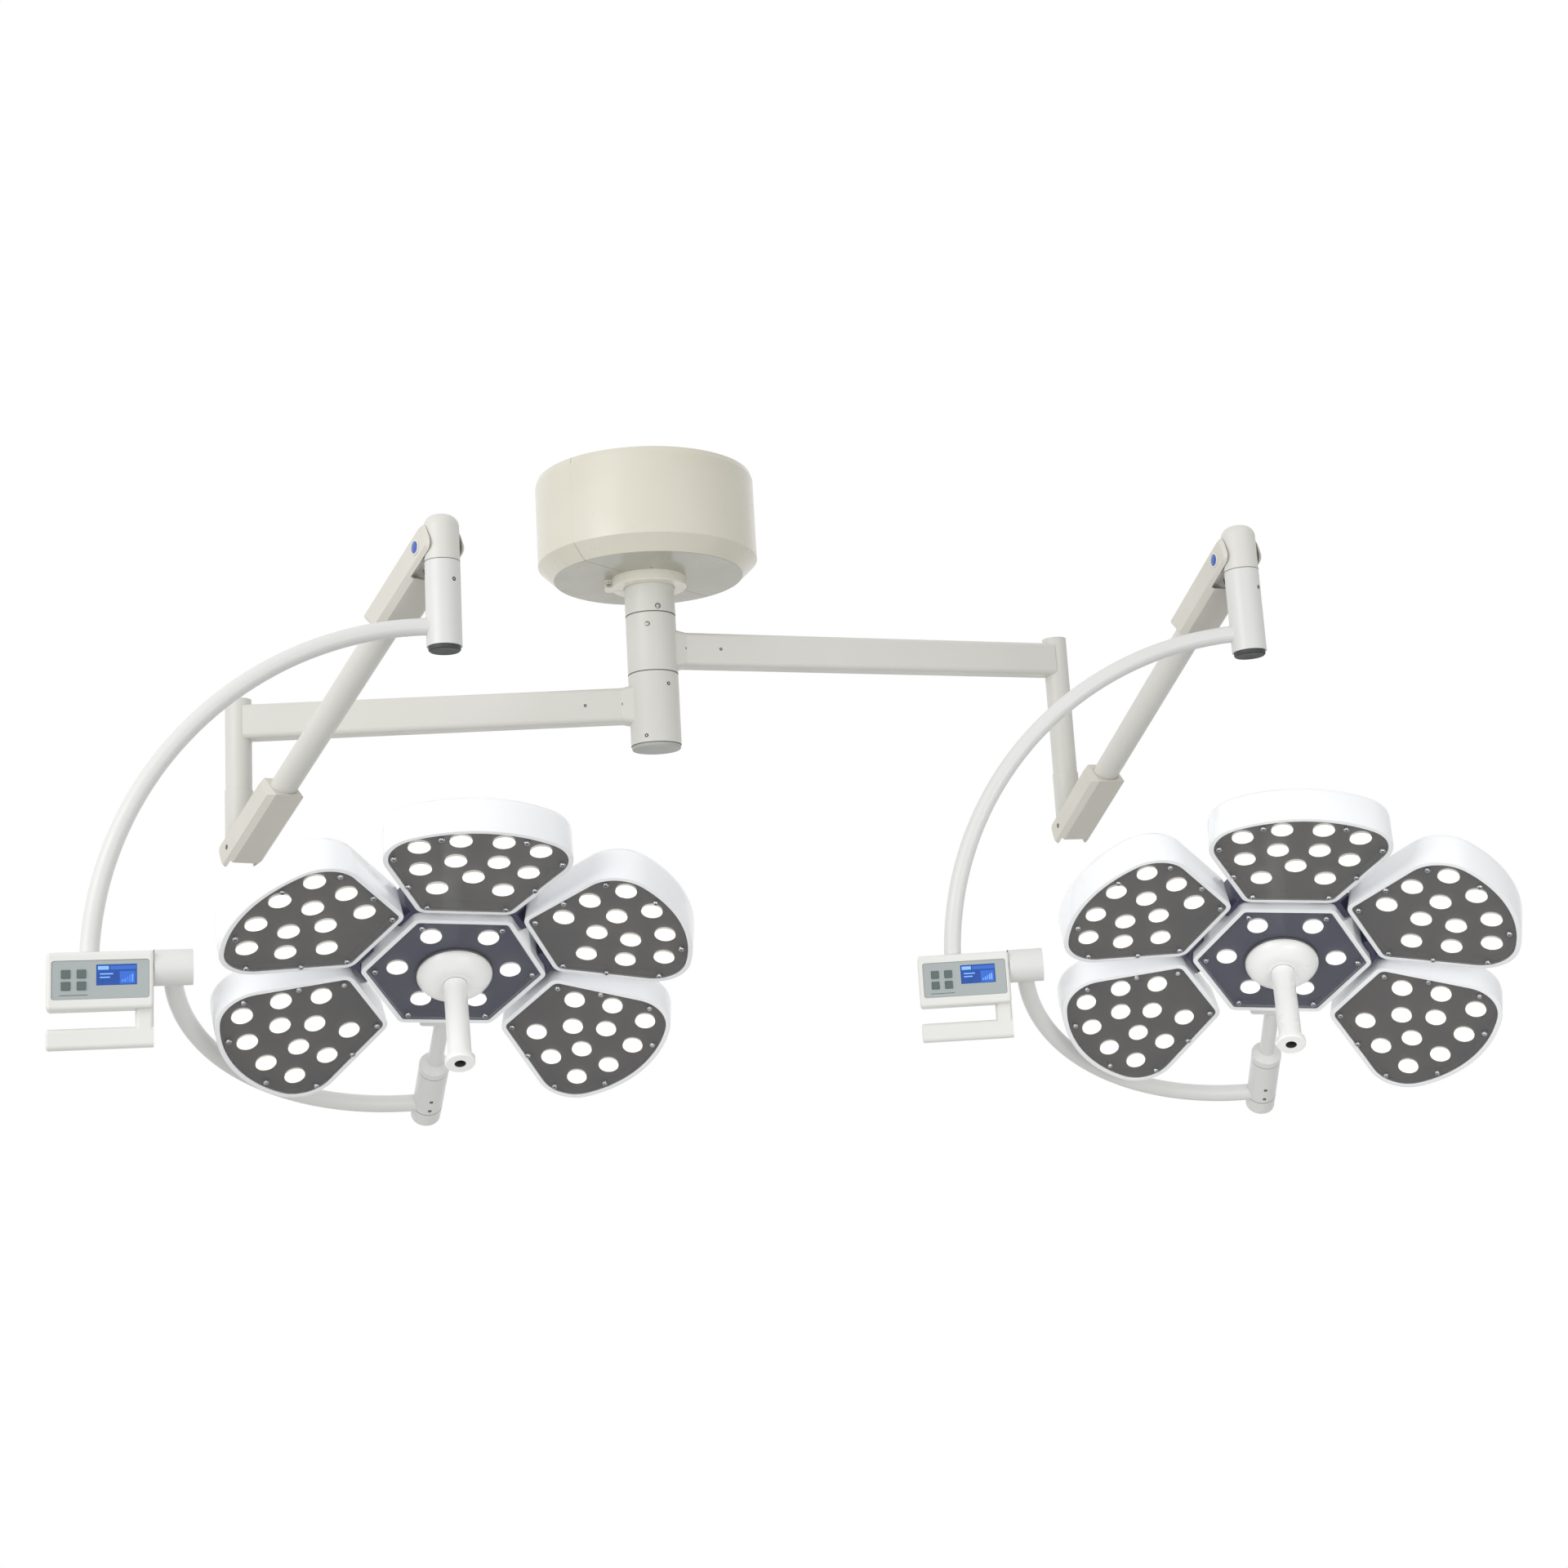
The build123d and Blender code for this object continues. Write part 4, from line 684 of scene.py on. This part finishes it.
# %% Ball and hood
BALL = [(0, -12.5), (8, -11.8), (14, -9.8), (18.6, -6), (21.6, -1), (23.5, 4.5), (24.5, 11)]
BARREL = [(0, -16), (20, -16), (20, 16), (0, 16)]
HOOD_STADIUM = [(0, 0, 26, 90, 270, 16), (0, -6, 20, -90, 0, 8), (0, 6, 20, 0, 90, 8)]
HOOD_LOW, HOOD_SPRING, HOOD_ROUND, HOOD_RISE = 20, 30, 18, 17.8
HOOD = [(0, HOOD_LOW), (0, HOOD_SPRING)] + [
    (HOOD_ROUND * cos(k * pi / 12) - HOOD_ROUND, HOOD_SPRING + HOOD_RISE * sin(k * pi / 12))
    for k in range(1, 7)
]
for side in SIDES:
    lower, upper = units[side]["lower_pivot"], units[side]["upper_pivot"]
    drop, stem = units[side]["drop"], units[side]["stem"]
    knuckle, hood = bmesh.new(), bmesh.new()
    seam = (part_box(f"{side}_knuckle")[1].z - lower.translation.z) / MM
    neck = [(24.5, seam - 0.6), (24, seam - 0.2), (0, seam - 0.2)]
    level = (lower.translation.z - drop.translation.z) / MM
    lathe(knuckle, facing(lower, (0, 1, 0)), BARREL, 40)
    lathe(knuckle, shifted(drop, z=level), BALL + neck, 56)
    body, slot = f"{side}_knuckle", "arm_powder_coat"
    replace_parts(piece(f"{side}_knuckle_ball", knuckle, finishes[slot], body), body)
    over_stem = Vector((*stem.translation.to_2d(), upper.translation.z))
    block = local(over_stem, lower.translation - upper.translation, UP)
    stacked(hood, block, HOOD_STADIUM, HOOD)
    slot = "yoke_powder_coat"
    piece(f"{side}_head_block_hood", hood, finishes[slot], f"{side}_head_block")
    print(side, "knuckle seam", round(seam), "mm above the pivot")

# %% [markdown]
# ## Pivot caps
# A moulded blue cap hides the upper pivot screw on each cheek, inside a pale ring, and a small grey plug
# does so on the lower cover. The CAD holds plain discs there; these turned pieces stand for them.

# %% Caps and plugs
CAP = [(0, 3.4), (4, 3.2), (7, 2.7), (8.6, 1.8), (9, 0.9), (9, 0.1), (0, 0.1)]
CAP_RING = [(9.2, 0.05), (9.2, 1.5), (10, 1.9), (11.2, 1.7), (12, 0.9), (12, 0.05), (9.2, 0.05)]
PLUG = [(0, 0.9), (3.4, 0.9), (4.4, 0.5), (4.6, 0.02), (0, 0.02)]
for side in SIDES:
    body, white = f"{side}_spring_arm", finishes["yoke_powder_coat"]
    caps, rings, plugs = bmesh.new(), bmesh.new(), bmesh.new()
    for turn in (1, -1):
        cheek = shifted(facing(units[side]["upper_pivot"], (0, turn, 0)), z=COVER_HALF)
        lathe(caps, cheek, CAP, 40)
        lathe(rings, cheek, CAP_RING, 40)
        low_cheek = shifted(facing(units[side]["lower_pivot"], (0, turn, 0)), z=COVER_HALF)
        lathe(plugs, low_cheek, PLUG, 24)
    cap = piece(f"{side}_pivot_cap_domes", caps, finishes["blue_cap"], body)
    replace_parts(cap, f"{side}_pivot_caps")
    piece(f"{side}_pivot_cap_rings", rings, white, body)
    piece(f"{side}_lower_pivot_plugs", plugs, gasket, body)
print("caps on both pivots of each spring arm")

# %% [markdown]
# ## Reading the windows and lenses back from the CAD
# Each petal is one loose solid of its node. Splitting a node into its solids gives every window's place and
# facing direction and every lens's centre, so that nothing here has to be measured twice.

# %% Split a node into its solids
def solids_of(node, facing_way):
    """Per loose solid: its points, and the mean normal of the faces that look roughly the given way."""
    mesh = nodes[node].data
    spots, owner = {}, {}
    ids = [spots.setdefault(tuple(round(c / MM, 2) for c in v.co), len(spots)) for v in mesh.vertices]

    def root(i):
        while owner.get(i, i) != i:
            owner[i] = owner.get(owner[i], owner[i])
            i = owner[i]
        return i

    for face in mesh.polygons:
        first = root(ids[face.vertices[0]])
        for v in face.vertices[1:]:
            owner[root(ids[v])] = first
            first = root(first)
    groups = {}
    for v in mesh.vertices:
        groups.setdefault(root(ids[v.index]), [[], Vector((0, 0, 0))])[0].append(v.co.copy())
    for face in mesh.polygons:
        if face.normal.dot(facing_way) > 0.9:
            groups[root(ids[face.vertices[0]])][1] += face.normal * face.area
    return [(points, normal.normalized()) for points, normal in groups.values()]


# a window with its middle this near the head's axis is the centre one
CENTRAL = 20


def window_frame(points, normal, head):
    """Frame on a window's face: z out, x away from the head's axis, 0 at the inner edge's middle."""
    middle = sum(points, Vector()) / len(points)
    outward = middle - head.translation
    outward = outward - outward.dot(head.col[2].xyz) * head.col[2].xyz
    if outward.length < CENTRAL * MM:
        rise = max((p - head.translation).dot(normal) for p in points)
        return local(head.translation + normal * rise, head.col[0].xyz, normal)
    place = local(middle, outward, normal)
    inverse = place.inverted()
    flat = [inverse @ p / MM for p in points]
    mid_y = (min(p.y for p in flat) + max(p.y for p in flat)) / 2
    return shifted(place, min(p.x for p in flat), mid_y, max(p.z for p in flat))


windows = {}
for side in SIDES:
    head = units[side]["head"]
    light = head.col[2].xyz
    petals = solids_of(f"{side}_petal_windows", light)
    middle = solids_of(f"{side}_center_window", light)
    windows[side] = [window_frame(points, normal, head) for points, normal in petals + middle]
    print(side, len(petals), "petals, tilted", [round(n.angle(light) * 180 / pi, 1) for _, n in petals])

# %% [markdown]
# ## Petal shells, windows and trays
# A petal is a deep-drawn shell: narrow at the hub, bowed outside, with shoulders of a wide radius that the
# CAD cuts short. Its window lies in a shallow recess, and the tray behind it is black, so that only the
# lenses catch the eye. Every outline is one set of arcs with a margin, so all of them stay parallel.

# %% Petals
# the petal's arcs are drawn about a point 137 mm inward, and both faces lie 0.6 mm above the CAD's window
PETAL_ORIGIN, FACE = -137, 0.6
PETAL_ARCS = [
    (154.4, 0, 189.6, -29.2, 29.2, 20), (274.5, 67.07, 52, 29.2, 115.1, 14), (149, 52.38, 12, 115.1, 180, 6),
    (149, -52.38, 12, 180, 244.9, 6), (274.5, -67.07, 52, 244.9, 330.8, 14),
]
HEXAGON_CORNER, PETALS = 118.07, 5
HEXAGON_ARCS = [(*spoke(turn, HEXAGON_CORNER), 6, turn - 30, turn + 30, 4) for turn in range(0, 360, 60)]
# sections as (margin, height): the shell's rounded back, its wall and the step that the window lies on
SHELL = [(-7 + 14 * sin(k * pi / 12), -44 - 14 * cos(k * pi / 12)) for k in range(7)]
SHELL += [(7, -0.8), (6.8, -0.3), (6.2, 0), (0.6, 0), (0.2, -0.4), (0.2, -4.2), (-2, -4.2), (-2, -14)]
SHEET = [(0, -3.6), (0, -0.9), (-0.3, -0.6)]
TRAY = [(-2.2, -13.9), (-2.2, -4.1), (-0.1, -4.1), (-0.1, -3.65), (-3.2, -3.65), (-3.2, -12.9)]
HEXAGON_TRAY = [(margin, min(z, -3.7)) for margin, z in TRAY if margin < -2]
BOARD = [(-5, -12.6), (-5, -11.5)]
for side in SIDES:
    body = f"{side}_head"
    shells, sheets, trays, boards = bmesh.new(), bmesh.new(), bmesh.new(), bmesh.new()
    for index, window in enumerate(windows[side]):
        if index < PETALS:
            outline, plane, tray = PETAL_ARCS, shifted(window, PETAL_ORIGIN, 0, FACE), TRAY
            stacked(shells, plane, outline, SHELL)
            stacked(sheets, plane, outline, SHEET)
        else:
            outline, plane, tray = HEXAGON_ARCS, shifted(window, z=FACE), HEXAGON_TRAY
        stacked(trays, plane, outline, tray)
        stacked(boards, plane, outline, BOARD)
    shell = piece(f"{side}_petal_shells", shells, finishes["petal_gloss"], body)
    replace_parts(shell, f"{side}_petal_housings")
    sheet = piece(f"{side}_petal_sheets", sheets, finishes["smoked_acrylic"], body)
    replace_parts(sheet, f"{side}_petal_windows")
    piece(f"{side}_module_trays", trays, board, body)
    piece(f"{side}_module_boards", boards, board, body)
    print(side, PETALS, "petal shells and", len(windows[side]), "trays")

# %% [markdown]
# ## Corner pads
# Between two petals a lacquered pad wraps each free corner of the hexagon, with a leg along both sides.

# %% Pads round the hexagon's corners
PAD_ANGLES, PAD_IN, PAD_OUT, PAD_LEG, PAD_LOW, PAD_HIGH = (0, 180, 240, 300), 14, 22, 28, -72, -12
WINDOW_LEVEL = 25
for side in SIDES:
    pads = bmesh.new()
    for angle in PAD_ANGLES:
        x, y = spoke(angle, HEXAGON_CORNER)
        legs = [spoke(angle + turn, PAD_LEG) for turn in (-120, 120)]
        bends = []
        for radius in (PAD_OUT, PAD_IN):
            bend = arcs([(x, y, radius, angle - 30, angle + 30, 6)])
            ends = [tuple(Vector(point) + leg) for point, leg in zip((bend[0], bend[-1]), legs)]
            bends.append([ends[0]] + bend + [ends[1]])
        outline = bends[0] + bends[1][::-1]
        prism(pads, shifted(units[side]["head"], z=WINDOW_LEVEL), outline, PAD_LOW, PAD_HIGH)
    piece(f"{side}_corner_pads", pads, finishes["navy_enamel"], f"{side}_head", 1.0)
    print(side, len(PAD_ANGLES), "corner pads")

# %% [markdown]
# ## Light modules
# Behind each window sit a dark circuit board and rows of moulded lenses, each in a reflector cup whose
# painted glow stands for the light it catches and shows as a halo. Every fourth diode is a warm one, so that
# the colour of the light can be set. The CAD has ten-sided stand-ins; turned domes replace them.

# %% Cups and lenses
DOME = [(0, 9), (4, 8.8), (7.5, 8.3), (10, 7.5), (11.4, 6.7), (11.4, 6.2), (0, 6.2)]
RIM = [(11.5, 6.9), (12.6, 6.4), (13, 5.4), (13, 0.3), (11.5, 0.3), (11.5, 6.9)]
CUP = [(13.3, 2.6), (14.2, 4.6), (14.7, 6.2), (15.2, 6.2), (15.2, 5.6), (14.4, 2.6), (13.3, 2.6)]
for side in SIDES:
    body = f"{side}_head"
    cool, warm, rims, cups = bmesh.new(), bmesh.new(), bmesh.new(), bmesh.new()
    head = units[side]["head"]
    lenses = solids_of(f"{side}_led_lenses", head.col[2].xyz)
    for index, (points, normal) in enumerate(lenses):
        low = min(p.dot(normal) for p in points)
        centre = sum(points, Vector()) / len(points)
        place = local(centre + normal * (low - centre.dot(normal)), head.col[0].xyz, normal)
        lathe(warm if index % 4 == 1 else cool, place, DOME, 28)
        lathe(rims, place, RIM, 28)
        lathe(cups, place, CUP, 28)
    piece(f"{side}_cool_lenses", cool, cool_lens, body)
    piece(f"{side}_warm_lenses", warm, warm_lens, body)
    rim_piece = piece(f"{side}_lens_rims", rims, lens_rim, body)
    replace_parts(rim_piece, f"{side}_led_lenses")
    piece(f"{side}_reflector_cups", cups, cup_glow, body)
    print(side, len(lenses), "lenses on", len(windows[side]), "boards")

# %% [markdown]
# ## Window screws
# Small stainless button heads hold each window: eight round a petal and one in each corner of the hexagon.
# Their places are given on the window's own face.

# %% Screws round the windows
PETAL_SCREWS = [(9, 54), (64, 86), (136, 112), (189, 56)]
HEXAGON_SCREW_CIRCLE = 112
for side in SIDES:
    places = []
    for place in windows[side][:PETALS]:
        places += [shifted(place, x, y * turn) for x, y in PETAL_SCREWS for turn in (-1, 1)]
    for place in windows[side][PETALS:]:
        places += [shifted(place, *spoke(turn, HEXAGON_SCREW_CIRCLE)) for turn in range(0, 360, 60)]
    screws(f"{side}_window_screws", places, 4.2, 3.4, stainless, f"{side}_head")
    print(side, len(places), "window screws")

# %% [markdown]
# ## Canopy seams
# The canopy's two halves are filled and painted over; the filler lies a tenth of a millimetre back.

# %% Seam fillers
SEAM_ANGLES, WALL_RADIUS, FILLER_LOW, FILLER_HIGH = (54, 234), 200, -159.6, -14
FILLER = [(WALL_RADIUS - depth, y) for depth, y in ((2.6, -0.5), (0.1, -0.5), (0.1, 0.5), (2.6, 0.5))]
mesh = bmesh.new()
for angle in SEAM_ANGLES:
    prism(mesh, column @ Matrix.Rotation(radians(angle), 4, "Z"), FILLER, FILLER_LOW, FILLER_HIGH)
piece("canopy_seam_fillers", mesh, canopy_enamel_painted_shade, "ceiling_mount")
print("canopy seams filled at", SEAM_ANGLES)

# %% [markdown]
# ## Handle base, handle socket and the head's stem
# A dark gasket seals the handle's base on the window, a dark lining in the handle's socket is painted shade
# in its bore, and white sleeves cover the stem and bracket that hold the dark carrier.

# %% Gasket, painted socket shade and sleeves
BASE_GASKET = [(50, -0.5), (54.4, -0.5), (54.8, 0.6), (54.4, 2.2), (53.6, 2.6), (53.6, -0.2), (50, -0.5)]
SOCKET_SHADE_PROFILE = [(0, -19.8), (7.9, -19.8), (7.9, -0.4), (7.2, -0.4), (7.2, -19), (0, -19)]
HANDLE_LENGTH, BRACKET_REACH = 160, 124.6
STEM_SLEEVE = [
    (10.7, 133), (11.4, 133), (11.4, 243), (17, 246), (22.4, 249.2), (23.4, 250.2), (23.4, 261),
    (23.05, 261.4), (23.05, 249.4), (10.7, 249.4), (10.7, 133),
]
for side in SIDES:
    head, body, white = units[side]["head"], f"{side}_head", finishes["yoke_powder_coat"]
    face = shifted(head, z=WINDOW_LEVEL)
    seal, socket_shade, bracket, sleeve = bmesh.new(), bmesh.new(), bmesh.new(), bmesh.new()
    lathe(seal, face, BASE_GASKET, 72)
    piece(f"{side}_base_gasket", seal, gasket, body)
    # painted shade: a dark lining stands for the shade inside the handle's socket
    lathe(socket_shade, shifted(face, z=HANDLE_LENGTH), SOCKET_SHADE_PROFILE, 40)
    piece(f"{side}_handle_socket_painted_shade", socket_shade, finishes["dark_plug"], f"{side}_handle")
    prism(bracket, shifted(face, y=BRACKET_REACH), rounded(71.6, 18.4, 5.8), -71, -7.4)
    piece(f"{side}_bracket_sleeve", bracket, white, body, 0.8)
    lathe(sleeve, facing(head, (0, 1, 0)), STEM_SLEEVE, 56)
    piece(f"{side}_head_stem_sleeve", sleeve, white, body)
print("gaskets, liners and sleeves on both heads")

# %% [markdown]
# ## Control panel
# The panel is a printed film with a backlit display and four rubber keys. The display shows a lit header
# and a bar graph of the light level, all of it plain shapes; the film has one printed rule.

# %% Display segments and the printed rule
KEYS, PANEL_FACE, DISPLAY_X, DISPLAY_Y = range(1, 5), 27.05, -460, -10
# bars of the display, each as x, y, width and height about its middle
LIT = [(-17, 9.4, 14, 5), (-13, 1.2, 17, 1.6), (-15, -3.4, 13, 1.6)]
LIT += [(7.6 + step * 3.2, -8.4 + step * 0.9, 1.9, 3 + step * 1.8) for step in range(5)]
HEADER = [(8.6, 9.4, 33, 5), (14, -4.2, 20, 17)]
for side in SIDES:
    yoke, body = units[side]["yoke"], f"{side}_upper_yoke"
    panel = local(yoke.translation, -yoke.col[0].xyz, yoke.col[1].xyz)
    display = shifted(panel, DISPLAY_X, DISPLAY_Y, PANEL_FACE)
    lit, header, printed = bmesh.new(), bmesh.new(), bmesh.new()
    for mesh, bars in ((lit, LIT), (header, HEADER)):
        for x, y, width, height in bars:
            prism(mesh, shifted(display, x, y), rounded(width, height, 0.4, 2), 0, 0.15)
    prism(printed, shifted(panel, -515, -36.5, PANEL_FACE), rounded(36, 0.9, 0.3, 2), 0, 0.12)
    piece(f"{side}_display_segments", lit, bright_segments, body)
    piece(f"{side}_display_header", header, header_glass, body)
    piece(f"{side}_panel_rule", printed, dark_print, body)
    for key in KEYS:
        rounding = nodes[f"{side}_button_{key}"].modifiers.new("rounded_edges", "BEVEL")
        rounding.width = 0.6 * MM
        rounding.segments = 2
print("panels marked with", len(LIT) + len(HEADER), "bars and a rule each")

# %% [markdown]
# ## Floor, soft light and camera
# The light hangs from a ceiling 2.75 m above a pale floor. Two big soft boxes and a bright even sky stand
# for a studio. The lens is a normal one, set low and tipped up, as from a person who stands in the room.

# %% Floor
FLOOR_HEIGHT, FLOOR_HALF = -2.75, 2.4
mesh, data = bmesh.new(), bpy.data.meshes.new("floor")
bmesh.ops.create_grid(mesh, x_segments=8, y_segments=8, size=FLOOR_HALF)
mesh.to_mesh(data)
mesh.free()
vinyl, tree, place = begin("floor_matt_vinyl")
mottle = add(tree, "ShaderNodeTexNoise", Vector=place, Scale=per_mm(30), Detail=4.0)
tone = add(
    tree, "ShaderNodeMix", RGBA, in_0=mottle.outputs["Fac"], in_6=linear("CDCDCB"), in_7=linear("D8D8D6")
)
end(vinyl, add(tree, "ShaderNodeBsdfPrincipled", Base_Color=tone.outputs[2], Roughness=0.6))
data.materials.append(vinyl)
floor = bpy.data.objects.new("floor", data)
floor.location.z = FLOOR_HEIGHT
bpy.context.scene.collection.objects.link(floor)
print("floor", FLOOR_HEIGHT, "m below the ceiling")

# %% [markdown]
# The sky dims towards the floor, a little behind the camera and on the far right, so round forms keep shade.

# %% Sky and soft boxes
world = bpy.data.worlds.new("studio")
bpy.context.scene.world = world
world.use_nodes = True
sky = world.node_tree
sky.nodes.clear()
toward = add(sky, "ShaderNodeSeparateXYZ", Vector=add(sky, "ShaderNodeTexCoord").outputs["Generated"])
# per axis: where the change begins and ends, and how bright the sky is there
SKY_RAMPS = {"Z": (-0.75, -0.26, 0.3, 1.0), "Y": (-0.3, 0.6, 0.84, 1.0), "X": (0.45, 0.85, 1.0, 0.6)}
brightness = 1.0
for axis, (start, finish, before, after) in SKY_RAMPS.items():
    ramp = add(
        sky, "ShaderNodeMapRange", Value=toward.outputs[axis],
        From_Min=start, From_Max=finish, To_Min=before, To_Max=after,
    )
    product = add(sky, "ShaderNodeMath", {"operation": "MULTIPLY"}, in_0=brightness, in_1=ramp.outputs[0])
    brightness = product.outputs[0]
glow = add(sky, "ShaderNodeBackground", Color=linear("FFFFFF"), Strength=brightness)
add(sky, "ShaderNodeOutputWorld", Surface=glow.outputs[0])


def soft_box(name, place, target, size, power):
    """A rectangular area lamp aimed at a point."""
    lamp = bpy.data.lights.new(name, "AREA")
    lamp.shape = "RECTANGLE"
    lamp.size, lamp.size_y = size
    lamp.energy = power
    made = bpy.data.objects.new(name, lamp)
    made.location = place
    made.rotation_euler = (Vector(target) - Vector(place)).to_track_quat("-Z", "Y").to_euler()
    bpy.context.scene.collection.objects.link(made)


soft_box("key_box", (-2.1, -2.9, 0.1), (0.2, 0, -0.7), (2.0, 1.6), 34)
soft_box("fill_box", (1.6, -3.2, -1.3), (0.5, 0, -1.0), (1.4, 1.0), 19)
print("sky ramps on", list(SKY_RAMPS))

# %% [markdown]
# The camera's frame is built from its own directions: tipped up, then turned about its line of sight.

# %% Camera
PITCH, ROLL = radians(10.14), radians(3.39)
CAMERA_PLACE = Vector((0.225, -3.460, -1.200))
forward = Vector((0, cos(PITCH), sin(PITCH)))
sunk = Vector((0, sin(PITCH), -cos(PITCH)))
right = Vector((cos(ROLL), 0, 0)) + sunk * sin(ROLL)
down = Vector((-sin(ROLL), 0, 0)) + sunk * cos(ROLL)
camera = bpy.data.objects.new("camera", bpy.data.cameras.new("camera"))
camera.data.lens, camera.data.sensor_width = 45, 36
turn = Matrix((right, -down, -forward)).transposed().to_4x4()
turn.translation = CAMERA_PLACE
camera.matrix_world = turn
bpy.context.scene.collection.objects.link(camera)
bpy.context.scene.camera = camera
bpy.context.scene.view_settings.view_transform = "Standard"
print("camera", [round(v, 3) for v in camera.location])
